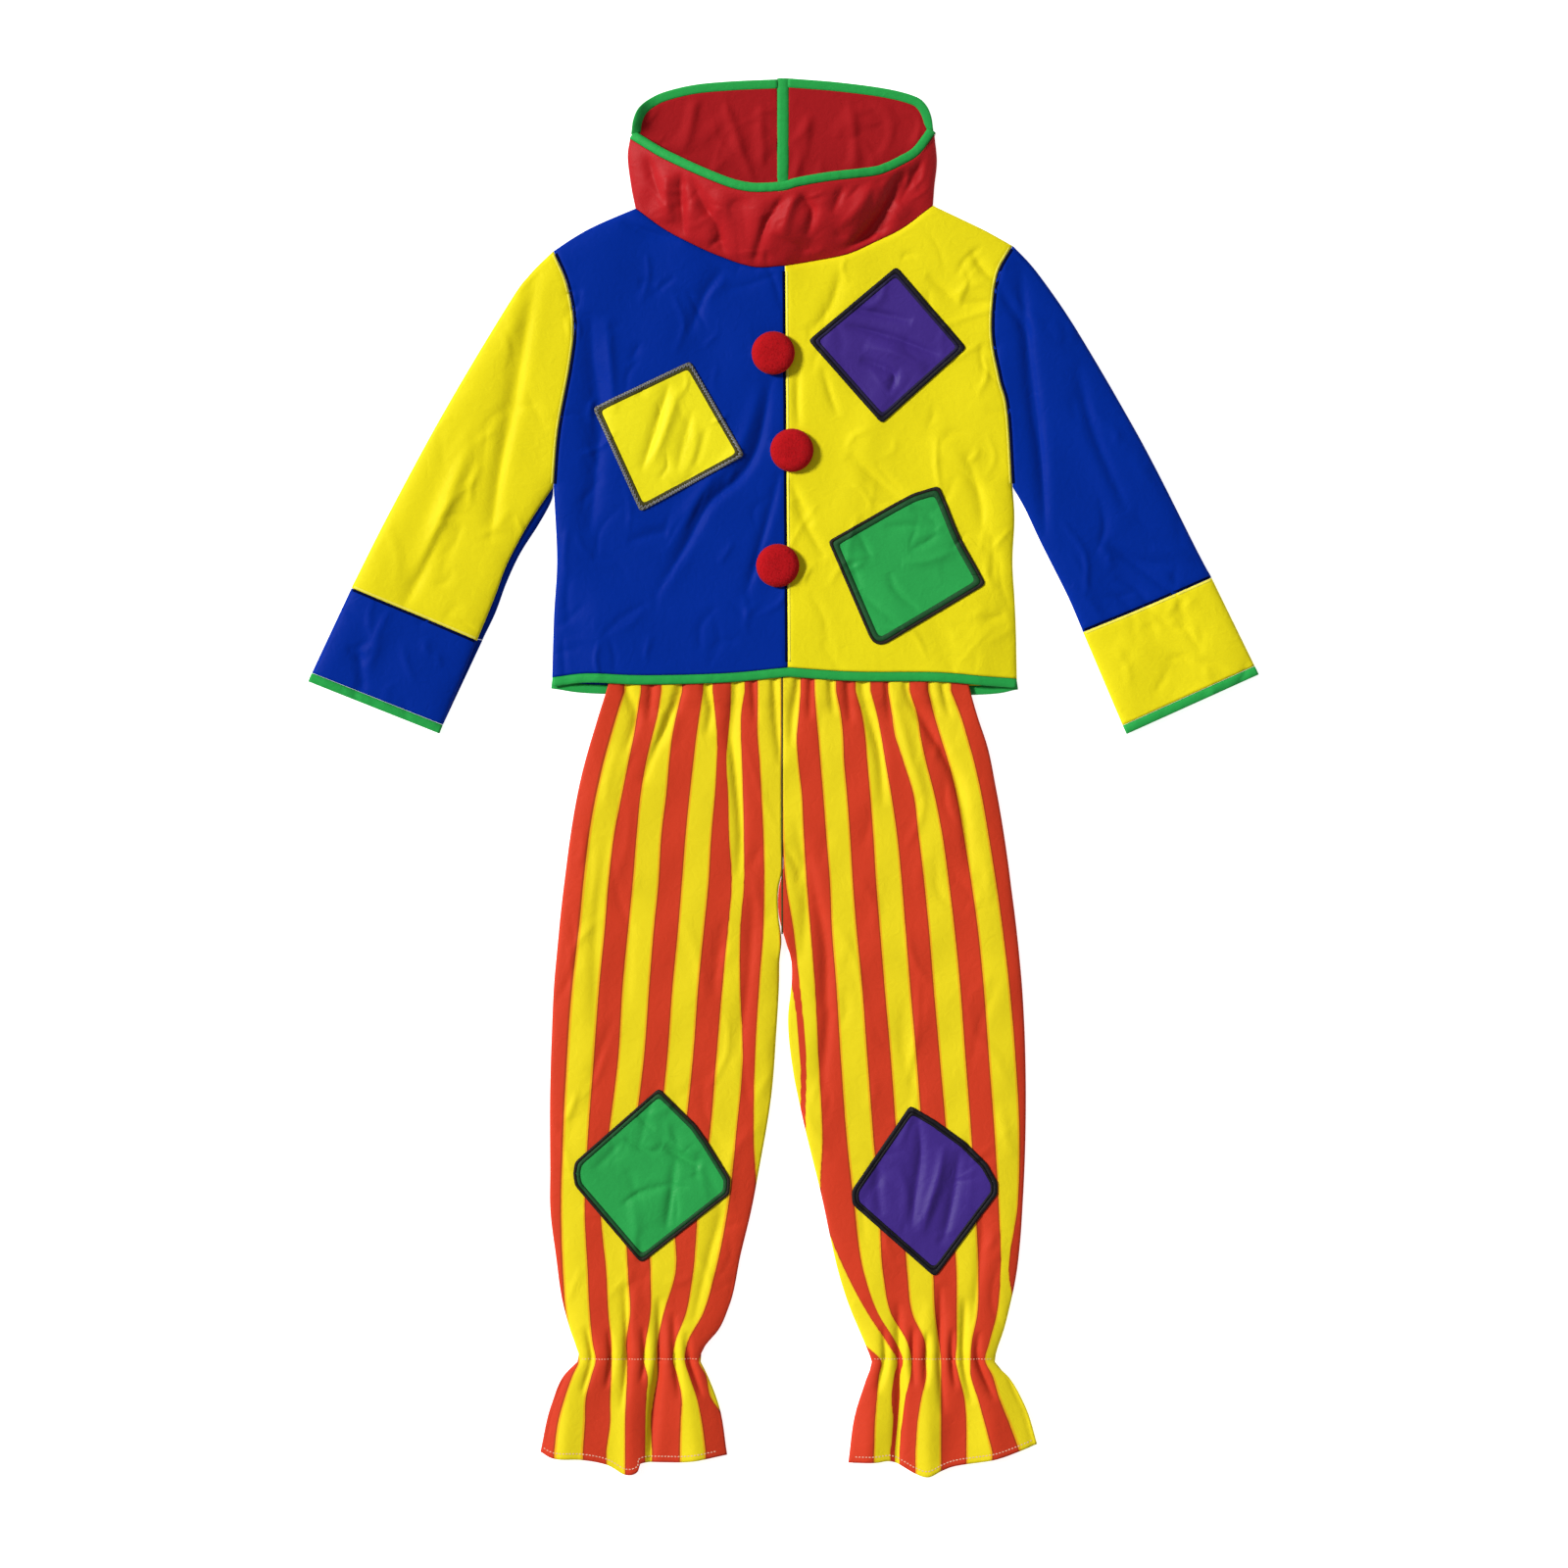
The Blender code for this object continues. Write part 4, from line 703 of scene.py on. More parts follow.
TOP_CRUMPLES = (
    crumples(11, 74, (-225, -5, 115, 540), 68, 34, (16, 64), (2.2, 4.2), (0.25, 0.85))
    + crumples(12, 70, (10, 228, 115, 540), 60, 50, (16, 64), (2.2, 4.2), (0.25, 0.75))
    + crumples(13, 36, (-440, -250, 150, 500), 60, 20, (22, 90), (2.4, 5), (0.3, 0.9))
    + crumples(14, 36, (250, 440, 150, 500), -62, 20, (22, 90), (2.4, 5), (0.3, 1.0))
    + crumples(15, 16, (-470, -320, 60, 180), 70, 40, (15, 50), (2.5, 4.5), (0.3, 0.8))
    + crumples(16, 18, (320, 470, 60, 190), -60, 50, (15, 50), (2.5, 4.5), (0.3, 0.9))
)
LEG_CRUMPLES = (
    crumples(21, 50, (-235, -10, -560, 60), 88, 16, (30, 110), (3, 6), (0.25, 0.8))
    + crumples(22, 50, (15, 240, -560, 60), 92, 16, (30, 110), (3, 6), (0.25, 0.8))
    + crumples(23, 22, (-220, -50, -560, -330), 40, 60, (15, 45), (2.5, 4), (0.2, 0.6))
    + crumples(24, 22, (60, 230, -560, -330), 40, 60, (15, 45), (2.5, 4), (0.2, 0.6))
)


def over_waist(x, y):
    """1 where the top's front lies over the tucked waist, fading to 0 past it."""
    upward = 1 - ease((y - CASING_HIGH - WAIST_CLEAR) / WAIST_FADE_UP)
    sideways = 1 - ease((np.abs(x - WAIST_MIDDLE) - WAIST_HALF) / WAIST_FADE_ACROSS)
    return upward * sideways


def top_front(x, y):
    """Underside of the top's front layer, sleeves and cuffs too."""
    held = over_waist(x, y)
    floor = FRONT_FLOOR + (OVER_WAIST - FRONT_FLOOR) * held
    round_edge = loft(x, y, TOP_EDGES, TOP_REACH)
    soft = TOP_LOFT * round_edge * (1 - OVER_WAIST_FLAT * held)
    detail = fold_height(x, y, FRONT_FOLDS + SLEEVE_FOLDS)
    detail = detail + CREASE_GAIN * crease_height(x, y, TOP_CREASES + SLEEVE_CREASES + TOP_CRUMPLES)
    detail = detail + swell(x, y, 3, 62, 0.5)
    seam = SEAM_DIP * np.exp(-((edge_distance(x, y, TOP_SEAMS) / SEAM_DIP_WIDTH) ** 2))
    height = floor + soft + detail * (TOP_EDGE_SHARE + (1 - TOP_EDGE_SHARE) * round_edge)
    return np.maximum(settle(height, floor, TOP_BEND) - seam, floor)


def over_top(x, y):
    """Upper face of the top's front layer."""
    return top_front(x, y) + CLOTH


def leg_edges(rows):
    """The folded edges of a leg: its outer side, and its inner one below the crotch."""
    return [[(row.outer, row.y) for row in rows],
            [(row.inner, row.y) for row in rows if row.y < CROTCH_Y]]


def leg_front(x, y, rows):
    """Underside of a leg's front layer."""
    tucked = ease((y - TUCK_START) / (TUCK_END - TUCK_START))
    floor = FRONT_FLOOR + (TUCK_FRONT - FRONT_FLOOR) * tucked
    round_edge = loft(x, y, leg_edges(rows), LEG_REACH)
    soft = LEG_LOFT * round_edge * (1 - LEG_WAIST_FLAT * ease((y - LEG_FLAT_START) / LEG_FLAT_REACH))
    waist = WAIST_RISE * np.exp(-np.clip(GATHER_TOP - y, 0, None) / GATHER_FADE)
    ankle = ANKLE_PUFF * np.exp(-((y - ANKLE_Y) / ANKLE_FADE) ** 2)
    detail = fold_height(x, y, LEG_FOLDS) + LEG_CREASE_GAIN * crease_height(x, y, LEG_CREASES)
    detail = detail + CREASE_GAIN * crease_height(x, y, LEG_CRUMPLES)
    detail = detail + swell(x, y, 5, 70, 0.5)
    ankle = ankle * (ANKLE_EDGE_SHARE + (1 - ANKLE_EDGE_SHARE) * round_edge)
    detail = detail * (LEG_EDGE_SHARE + (1 - LEG_EDGE_SHARE) * round_edge)
    height = floor + soft + waist + ankle + detail
    height = height + crease_height(x, y, RUFFLE_CREASES)
    height = height + ANKLE_CREASE_GAIN * crease_height(x, y, ANKLE_CREASES)
    height = height - ANKLE_DIP * np.exp(-((y - ANKLE_Y) / ANKLE_DIP_WIDTH) ** 2)
    height = settle(height, floor, LEG_BEND)
    height = np.where(y > TUCK_START, np.minimum(height, floor + GATHER_RISE), height)
    return np.maximum(height, floor)


def over_leg(rows):
    """Gives the function for the upper face of a leg's front layer."""
    def height(x, y):
        return leg_front(x, y, rows) + CLOTH
    return height


def raised(surface, by):
    """Gives the function for a surface moved up."""
    def height(x, y):
        return surface(x, y) + by
    return height


SURFACES = {"top": over_top, "right": over_leg(RIGHT_LEG), "left": over_leg(LEFT_LEG)}


def back_leg(x, y):
    """The trousers' back steps up over the top's back hem."""
    return TUCK_BACK * ease((y - TUCK_START) / (TUCK_END - TUCK_START))


# Materials

def new_node(tree, kind, settings=None, **inputs):
    made = tree.nodes.new(kind)
    for name, value in (settings or {}).items():
        setattr(made, name, value)
    for name, value in inputs.items():
        socket = made.inputs[name.replace("_", " ")]
        if isinstance(value, bpy.types.NodeSocket):
            tree.links.new(value, socket)
        else:
            socket.default_value = value
    return made


def mix(tree, factor, first, second):
    """One colour into another, as the factor goes from 0 to 1."""
    made = tree.nodes.new("ShaderNodeMix")
    made.data_type = "RGBA"
    for socket, value in zip((made.inputs[0], made.inputs[6], made.inputs[7]), (factor, first, second)):
        if isinstance(value, bpy.types.NodeSocket):
            tree.links.new(value, socket)
        else:
            socket.default_value = value
    return made.outputs[2]


def shade(colour, share):
    return (*[channel * share for channel in colour], 1)


def weave_bump(tree, place, repeat, depth):
    """Crossed yarns, over fine handling wrinkles."""
    yarns = new_node(tree, "ShaderNodeMath", {"operation": "MAXIMUM"})
    for socket, direction in zip(yarns.inputs, ("X", "Y")):
        settings = {"wave_type": "BANDS", "bands_direction": direction}
        wave = new_node(tree, "ShaderNodeTexWave", settings, Vector=place,
                        Scale=WAVE_OF_ONE / (repeat * MM), Distortion=0.6)
        tree.links.new(wave.outputs["Fac"], socket)
    creased = new_node(tree, "ShaderNodeTexNoise", Vector=place, Scale=95.0, Detail=3.0, Distortion=1.2)
    soft = new_node(tree, "ShaderNodeBump", Strength=WRINKLE, Distance=0.0012,
                    Height=creased.outputs["Fac"])
    fine = new_node(tree, "ShaderNodeBump", Strength=depth, Distance=0.0002,
                    Height=yarns.outputs["Value"], Normal=soft.outputs["Normal"])
    return fine.outputs["Normal"]


def start_material(name, roughness, sheen, gloss):
    made = bpy.data.materials.new(name)
    made.use_nodes = True
    tree = made.node_tree
    shader = tree.nodes["Principled BSDF"]
    shader.inputs["Roughness"].default_value = roughness
    shader.inputs["Sheen Weight"].default_value = sheen
    shader.inputs["Sheen Roughness"].default_value = 0.4
    shader.inputs["Specular IOR Level"].default_value = gloss
    place = tree.nodes.new("ShaderNodeTexCoord").outputs["Object"]
    return made, tree, shader, place


def cloth_material(name):
    """Plain dyed cloth: slightly uneven colour, crossed yarns and fine wrinkles."""
    found = bpy.data.materials.get(name)
    if found:
        return found
    colour, roughness, sheen, gloss, repeat, depth = FINISHES[name]
    made, tree, shader, place = start_material(name, roughness, sheen, gloss)
    shader.inputs["Sheen Tint"].default_value = (*[0.3 + 0.7 * c for c in colour], 1)
    patchy = new_node(tree, "ShaderNodeTexNoise", Vector=place, Scale=16.0, Detail=4.0)
    flecks = new_node(tree, "ShaderNodeTexNoise", Vector=place, Scale=700.0, Detail=2.0)
    uneven = mix(tree, patchy.outputs["Fac"], shade(colour, 0.86), shade(colour, 1.1))
    dyed = mix(tree, flecks.outputs["Fac"], shade(colour, 0.85), shade(colour, 1.12))
    tree.links.new(mix(tree, 0.5, uneven, dyed), shader.inputs["Base Color"])
    tree.links.new(weave_bump(tree, place, repeat, depth), shader.inputs["Normal"])
    return made


def stripe_material():
    """Printed stripes, from a count of bands kept on the points, with a thin line where they meet."""
    found = bpy.data.materials.get("stripes")
    if found:
        return found
    made, tree, shader, place = start_material("stripes", 0.6, 0.0, 0.08)
    shader.inputs["Sheen Tint"].default_value = (0.9, 0.6, 0.3, 1)
    band = new_node(tree, "ShaderNodeAttribute", {"attribute_name": "band"})
    half = new_node(tree, "ShaderNodeMath", {"operation": "MULTIPLY"})
    tree.links.new(band.outputs["Fac"], half.inputs[0])
    half.inputs[1].default_value = 0.5
    repeat = new_node(tree, "ShaderNodeMath", {"operation": "FRACT"})
    tree.links.new(half.outputs["Value"], repeat.inputs[0])
    ramp = tree.nodes.new("ShaderNodeValToRGB")
    tree.links.new(repeat.outputs["Value"], ramp.inputs["Fac"])
    stops = [
        (0.0, STRIPE_DARK_LINE), (0.020, STRIPE_DARK_LINE), (0.034, STRIPE_RED), (0.466, STRIPE_RED),
        (0.480, STRIPE_DARK_LINE), (0.499, STRIPE_DARK_LINE), (0.501, STRIPE_GOLD_LINE),
        (0.525, STRIPE_GOLD_LINE), (0.545, STRIPE_YELLOW), (0.955, STRIPE_YELLOW),
        (0.975, STRIPE_GOLD_LINE), (1.0, STRIPE_GOLD_LINE),
    ]
    elements = ramp.color_ramp.elements
    while len(elements) < len(stops):
        elements.new(0.5)
    for element, (at, colour) in zip(elements, stops):
        element.position = at
        element.color = (*colour, 1)
    patchy = new_node(tree, "ShaderNodeTexNoise", Vector=place, Scale=18.0, Detail=4.0)
    dull = mix(tree, patchy.outputs["Fac"], (0.86, 0.86, 0.86, 1), (1, 1, 1, 1))
    printed = tree.nodes.new("ShaderNodeMix")
    printed.data_type = "RGBA"
    printed.blend_type = "MULTIPLY"
    printed.inputs[0].default_value = 1
    tree.links.new(ramp.outputs["Color"], printed.inputs[6])
    tree.links.new(dull, printed.inputs[7])
    tree.links.new(printed.outputs[2], shader.inputs["Base Color"])
    tree.links.new(weave_bump(tree, place, 0.8, 0.12), shader.inputs["Normal"])
    return made


def finish_of(name):
    return stripe_material() if name == "stripes" else cloth_material(name)


# Meshes

def add_mesh(name, points, quads, triangles, finish, values=None):
    """A smooth mesh from arrays of points in millimetres and of corner numbers."""
    mesh = bpy.data.meshes.new(name)
    mesh.vertices.add(len(points))
    mesh.vertices.foreach_set("co", (np.asarray(points, float) * MM).ravel())
    corners = np.concatenate([np.ravel(quads), np.ravel(triangles)]).astype(np.int32)
    starts = np.concatenate([np.arange(len(quads)) * 4, 4 * len(quads) + np.arange(len(triangles)) * 3])
    mesh.loops.add(len(corners))
    mesh.loops.foreach_set("vertex_index", corners)
    mesh.polygons.add(len(starts))
    mesh.polygons.foreach_set("loop_start", starts.astype(np.int32))
    mesh.update(calc_edges=True)
    mesh.shade_smooth()
    for key, value in (values or {}).items():
        layer = mesh.attributes.new(key, "FLOAT", "POINT")
        layer.data.foreach_set("value", np.ravel(value).astype(np.float32))
    mesh.materials.append(finish_of(finish))
    made = bpy.data.objects.new(name, mesh)
    bpy.context.scene.collection.objects.link(made)
    return made


NO_FACES = np.zeros((0, 3), int)
NO_QUADS = np.zeros((0, 4), int)


def sheet_area(grid, high):
    """Area of a grid's upper skin, in square metres."""
    points = np.dstack([grid, high])
    one = np.cross(points[1:, 1:] - points[:-1, :-1], points[1:, :-1] - points[:-1, 1:])
    return float(np.linalg.norm(one, axis=-1).sum() / 2 * MM * MM)


def cloth_wall(name, finish, grid, low, thick, values=None):
    """Closed sheet over a grid of (x, y) points, from the height low to low + thick."""
    rows, columns = grid.shape[:2]
    count = rows * columns
    low = np.broadcast_to(np.asarray(low, float), (rows, columns))
    high = low + thick
    flat = grid.reshape(-1, 2)
    points = np.vstack([np.column_stack([flat, low.ravel()]), np.column_stack([flat, high.ravel()])])
    index = np.arange(count).reshape(rows, columns)
    under = np.stack([index[:-1, :-1], index[:-1, 1:], index[1:, 1:], index[1:, :-1]], -1).reshape(-1, 4)
    over = under + count
    under = under[:, ::-1]
    rim = np.concatenate([index[0, :-1], index[:-1, -1], index[-1, :0:-1], index[:0:-1, 0]])
    following = np.roll(rim, -1)
    side = np.stack([rim, following, following + count, rim + count], -1)
    quads = np.vstack([over, under, side])
    right, up = grid[0, -1] - grid[0, 0], grid[-1, 0] - grid[0, 0]
    if right[0] * up[1] - right[1] * up[0] < 0:
        quads = quads[:, ::-1]
    doubled = {key: np.concatenate([np.ravel(value)] * 2) for key, value in (values or {}).items()}
    made = add_mesh(name, points, quads, NO_FACES, finish, doubled)
    made["flat_area"] = sheet_area(grid, high)
    return made


def round_wall(name, finish, rings, low, high):
    """Closed disc over rings of (x, y) points, from the middle out, between two tables of heights."""
    count, around = rings.shape[:2]
    middle = rings[0].mean(axis=0)
    flat = rings.reshape(-1, 2)
    under = np.column_stack([flat, low[1:].ravel()])
    over = np.column_stack([flat, high[1:].ravel()])
    centres = np.array([[*middle, low[0].mean()], [*middle, high[0].mean()]])
    points = np.vstack([under, over, centres])
    total = count * around
    index = np.arange(total).reshape(count, around)
    turned = np.roll(index, -1, axis=1)
    faces = np.stack([index[:-1], index[1:], turned[1:], turned[:-1]], -1).reshape(-1, 4)
    side = np.stack([index[-1], turned[-1], turned[-1] + total, index[-1] + total], -1)
    over_fan = np.stack([index[0] + total, turned[0] + total, np.full(around, 2 * total + 1)], -1)
    under_fan = np.stack([turned[0], index[0], np.full(around, 2 * total)], -1)
    quads = np.vstack([faces + total, faces[:, ::-1], side])
    return add_mesh(name, points, quads, np.vstack([over_fan, under_fan]), finish)


# What each piece stands for

DRESSED = {}
GRIDS = {}


def dress(piece, slot, *nodes):
    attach(piece, BODY)
    if nodes:
        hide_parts(*nodes)
    DRESSED[piece.name] = piece
    return piece


def span(grid, heading):
    """Width and length of a grid in metres, with the length along a heading in degrees."""
    turn = np.radians(heading)
    along = grid @ np.array([np.cos(turn), np.sin(turn)])
    across = grid @ np.array([-np.sin(turn), np.cos(turn)])
    return np.ptp(across) * MM, np.ptp(along) * MM


def declare(piece, grid, heading):
    """Works out what the piece was cut to: its box along its own grain, wider by what its folds take up.
    Nothing of it is kept or given back.
    """
    width, length = span(grid, heading)
    area = piece["flat_area"]
    width *= max(1, area / (width * length))


def crown(count, power, least=0):
    """Rounded section over count points: least at its two edges and 1 in the middle."""
    across = 2 * np.linspace(0, 1, count) - 1
    return np.clip(1 - np.abs(across) ** power, least, 1)[:, None]


def band(name, slot, nodes, line, width, height, thick, seed, stitch=None):
    """Folded binding along a line, to its left for a positive width, rounded over and slightly puckered."""
    random = np.random.default_rng(seed)
    across = np.linspace(0, 1, BAND_ACROSS)
    grid = np.stack([beside(line, width * t) for t in across])
    along = lengths_along(line)
    places = np.arange(0, along[-1] + 8, 4)
    pucker = np.interp(along, places, random.normal(0, 0.12, len(places)))
    rise = 0.35 + (thick - 0.35) * crown(BAND_ACROSS, 3.2) * (1 + pucker[None, :])
    if callable(height):
        low = height(grid[..., 0], grid[..., 1])
    else:
        low = np.broadcast_to(height, grid.shape[:2])
    if stitch is not None:
        near = np.exp(-((across[:, None] - stitch) / 0.09) ** 2)
        rise = rise - 0.45 * near * (0.6 + 0.4 * np.cos(2 * np.pi * along[None, :] / 3.2))
    made = cloth_wall(name, "green", grid, low, np.maximum(rise, 0.3))
    return dress(made, slot, *nodes)


def stitches(name, slot, finish, line, pitch, share, width, height):
    """A row of short raised threads along a line."""
    line = cut_evenly(line, max(1, int(round(lengths_along(line)[-1] / pitch))))
    starts, ends = line[:-1], line[:-1] + (line[1:] - line[:-1]) * share
    middles = (starts + ends) / 2
    along = ends - starts
    long = np.hypot(along[:, 0], along[:, 1])
    along = along / long[:, None]
    beside_it = np.column_stack([-along[:, 1], along[:, 0]])
    level = height(middles[:, 0], middles[:, 1])
    shape = [(-0.5, 0, 0), (-0.25, 0.5, 0.3), (0.25, 0.5, 0.3), (0.5, 0, 0), (0.25, -0.5, 0.3),
             (-0.25, -0.5, 0.3), (-0.2, 0, 1), (0.2, 0, 1)]
    points = []
    for a, b, c in shape:
        flat = middles + along * (a * long)[:, None] + beside_it * (b * width)
        points.append(np.column_stack([flat, level + c * width * 0.5]))
    points = np.stack(points, axis=1).reshape(-1, 3)
    quads = np.array([[1, 6, 7, 2], [4, 7, 6, 5]])
    triangles = np.array([[0, 6, 1], [2, 7, 3], [3, 7, 4], [5, 6, 0]])
    under = np.array([[0, 1, 2, 3], [0, 3, 4, 5]])
    shift = (np.arange(len(middles)) * len(shape))[:, None, None]
    quads = (np.vstack([quads[:, ::-1], under])[None] + shift).reshape(-1, 4)
    triangles = (triangles[:, ::-1][None] + shift).reshape(-1, 3)
    return dress(add_mesh(name, points, quads, triangles, finish), slot)


# The top

def body_grid(hem, centre, neck, shoulder, side, armhole, seam, share=1):
    """Half of the top's body, from its hem up. seam moves its centre edge clear of the other half."""
    across = [SHOULDER_STEPS // share, NECK_STEPS // share]
    upward = [SIDE_STEPS // share, ARMHOLE_STEPS // share]
    bottom = edge(hem, sum(across))
    top = join(edge(shoulder, across[0]), edge(neck, across[1]))
    left = join(edge(side, upward[0]), edge(armhole, upward[1]))
    right = edge(centre, sum(upward))
    left[0], right[0], right[-1] = bottom[0], bottom[-1], top[-1]
    grid = coons(bottom, top, left, right)
    grid[:, -1, 0] += seam
    return grid


def make_body():
    halves = [
        ("right", "blue", "blue_satin", HEM_RIGHT, BACK_HEM_RIGHT, NECK_RIGHT, BACK_NECK_RIGHT,
         SHOULDER_RIGHT, SIDE_RIGHT, ARMHOLE_RIGHT, -SEAM / 2),
        ("left", "yellow", "yellow_satin", HEM_LEFT, BACK_HEM_LEFT, NECK_LEFT, BACK_NECK_LEFT,
         SHOULDER_LEFT, SIDE_LEFT, ARMHOLE_LEFT, SEAM / 2),
    ]
    for side_name, colour, slot, hem, back_hem, neck, back_neck, shoulder, side, armhole, seam in halves:
        front = body_grid(hem, CENTRE, neck, shoulder, side, armhole, seam)
        low = top_front(front[..., 0], front[..., 1])
        made = cloth_wall(f"front_{side_name}_cloth", colour, front, low, CLOTH)
        dress(made, slot, "front_" + side_name)
        GRIDS[made.name] = (front, 90)
        back_side = [back_hem[0]] + side[1:]
        back_hem = [(x, y - TUCKED) for x, y in back_hem]
        back = body_grid(back_hem, BACK_CENTRE, back_neck, shoulder, back_side, armhole, seam, BACK_SHARE)
        made = cloth_wall(f"back_{side_name}_cloth", colour, back, 0, CLOTH)
        dress(made, slot, "back_" + side_name)
        GRIDS[made.name] = (back, 90)


def make_sleeve(side_name, colours, armhole, outer, inner, inner_back, cuff_seam, cuff_hem, outward):
    """Front and back layers of a sleeve and its cuff, with their bindings. outward is -1 on the right."""
    slots = {"blue": "blue_satin", "yellow": "yellow_satin"}
    front_colour, back_colour, cuff_colour = colours
    shift = np.array([outward * SEAM, 0])
    for layer, colour, inner_edge in (("front", front_colour, inner), ("back", back_colour, inner_back)):
        share = 1 if layer == "front" else BACK_SHARE
        columns, rows, cuff_rows = SLEEVE_ACROSS // share, SLEEVE_DOWN // share, CUFF_DOWN // share
        top = edge(armhole, columns)[::-1] + shift
        seam = edge(cuff_seam, columns)
        down = (seam[-1] - seam[0])[::-1] * np.array([1, -1])
        down = -outward * SEAM * down / np.hypot(*down)
        low_edge = seam.copy()
        low_edge[-1] = inner_edge[-1]
        left = edge(outer, rows)[::-1] + shift
        right = edge(inner_edge, rows)[::-1] + shift
        left[0], right[0] = low_edge[0], low_edge[-1]
        grid = coons(low_edge, top, left, right)
        cuff_top = low_edge + down
        hem = edge(cuff_hem, columns)
        cuff = coons(cuff_top, hem, edge([cuff_top[0], hem[0]], cuff_rows),
                     edge([cuff_top[-1], hem[-1]], cuff_rows))
        hem_line = edge(cuff_hem, 60) + down
        place = f"{side_name}_{layer}"
        heights = [0, 0]
        level = 0
        if layer == "front":
            heights = [top_front(g[..., 0], g[..., 1]) for g in (grid, cuff)]
            level = top_front
        heading = 120 if outward > 0 else 60
        made = cloth_wall(f"sleeve_{place}_cloth", colour, grid, heights[0], CLOTH)
        dress(made, slots[colour], "sleeve_" + place)
        GRIDS[made.name] = (grid, heading)
        made = cloth_wall(f"cuff_{place}_cloth", cuff_colour, cuff, heights[1], CLOTH)
        dress(made, slots[cuff_colour], "cuff_" + place)
        GRIDS[made.name] = (cuff, heading)
        thick = BINDING_WALL if layer == "front" else SOLID_CLOTH
        band("cuff_band_" + place, "green_binding", ["cuff_binding_" + place], hem_line,
             outward * BINDING_WIDTH, level, thick, 31, 0.12)


def make_hem_bindings():
    front = join(edge(HEM_RIGHT, 80), edge(HEM_LEFT, 80)[::-1])
    front[:, 1] -= SEAM
    band("hem_band_front", "green_binding", ["hem_binding_front"], front, -BINDING_WIDTH, top_front,
         BINDING_WALL, 32, 0.12)
    back = join(edge(BACK_HEM_RIGHT, 60), edge(BACK_HEM_LEFT, 60)[::-1])
    back[:, 1] -= SEAM
    band("hem_band_back", "green_binding", ["hem_binding_back"], back, -BINDING_WIDTH,
         BACK_BAND_LIFT, SOLID_CLOTH, 33, 0.12)


def make_seam_lines():
    """Dark line where blue cloth turns into a seam, beside a pale line of painted highlight along the
    yellow's edge.
    """
    seams = [("centre", CENTRE, 1), ("armhole_right", ARMHOLE_RIGHT, -1),
             ("armhole_left", ARMHOLE_LEFT, -1), ("cuff_right", CUFF_SEAM_RIGHT, -1),
             ("cuff_left", CUFF_SEAM_LEFT, -1)]
    for name, points, dark_side in seams:
        line = edge(points, 150)[2:-2]
        for strip in SEAM_LINES:
            widths = [strip.near + (strip.far - strip.near) * t for t in SEAM_LINE_ACROSS]
            grid = np.stack([beside(line, dark_side * width) for width in widths])
            low = over_top(grid[..., 0], grid[..., 1]) + STRIP_LIFT
            rise = strip.thick * np.array(SEAM_LINE_CROWN)[:, None] + 0 * low
            # The pale strip's colour is a painted highlight on the yellow's edge
            made = cloth_wall(f"seam_{name}_{strip.tone}", strip.tone + "_seam", grid, low, rise)
            dress(made, strip.slot)


# The collar

def calm(up, across, bottom, top, start, end):
    """1 inside a panel, fading to 0 at its edges, each by its own steepness."""
    return ease(bottom * up) * ease(top * (1 - up)) * ease(start * across) * ease(end * (1 - across))


def make_collar_front():
    across_steps = 2 * NECK_STEPS
    seam = join(edge(NECK_RIGHT, NECK_STEPS), edge(NECK_LEFT, NECK_STEPS)[::-1])
    seam_height = top_front(seam[:, 0], seam[:, 1])
    seam[:, 1] += SEAM
    middle = edge(FRONT_RIM, across_steps)
    rim = beside(middle, -BINDING_WIDTH / 2 - SEAM)
    left = edge(COLLAR_SIDE_RIGHT, COLLAR_STEPS_UP)
    right = edge(COLLAR_SIDE_LEFT, COLLAR_STEPS_UP)
    left[0], right[0] = seam[0], seam[-1]
    left[-1], right[-1] = rim[0], rim[-1]
    grid = coons(seam, rim, left, right)
    across = np.linspace(0, 1, across_steps + 1)[None, :]
    up = np.linspace(0, 1, COLLAR_STEPS_UP + 1)[:, None]
    arch = COLLAR_RISE * np.sin(np.pi * across) ** 0.85 * (1 - (1 - up) ** COLLAR_ROUND)
    x, y = grid[..., 0], grid[..., 1]
    small = crumples(41, 70, (-150, 150, 520, 640), 60, 50, (12, 45), (2, 4.2), (0.3, 1.2))
    fold = COLLAR_CREASE_GAIN * crease_height(x, y, COLLAR_CREASES + small) + swell(x, y, 8, 40, 1.0)
    fold = fold * calm(up, across, 6, 5, 12, 12)
    low = np.maximum(seam_height[None, :] * (1 - up) + FRONT_FLOOR * up + arch + fold, FRONT_FLOOR)
    made = cloth_wall("collar_front_cloth", "red", grid, low, COLLAR_WALL)
    dress(made, "red_satin", "collar_front")
    GRIDS[made.name] = (grid, 0)
    band("rim_band_front", "green_binding", ["rim_binding_front"], beside(middle, -BINDING_WIDTH / 2),
         BINDING_WIDTH, low[-1][None, :], 2.2, 34, 0.14)


def end_lift(x, y):
    """How far the back of the collar stands up where the tube turns at its left end."""
    across = np.exp(-(((x - END_X) / END_WIDTH) ** 2))
    return END_RISE * across * ease((y - END_LOW) / END_LOW_FADE) * ease((END_HIGH - y) / END_HIGH_FADE)


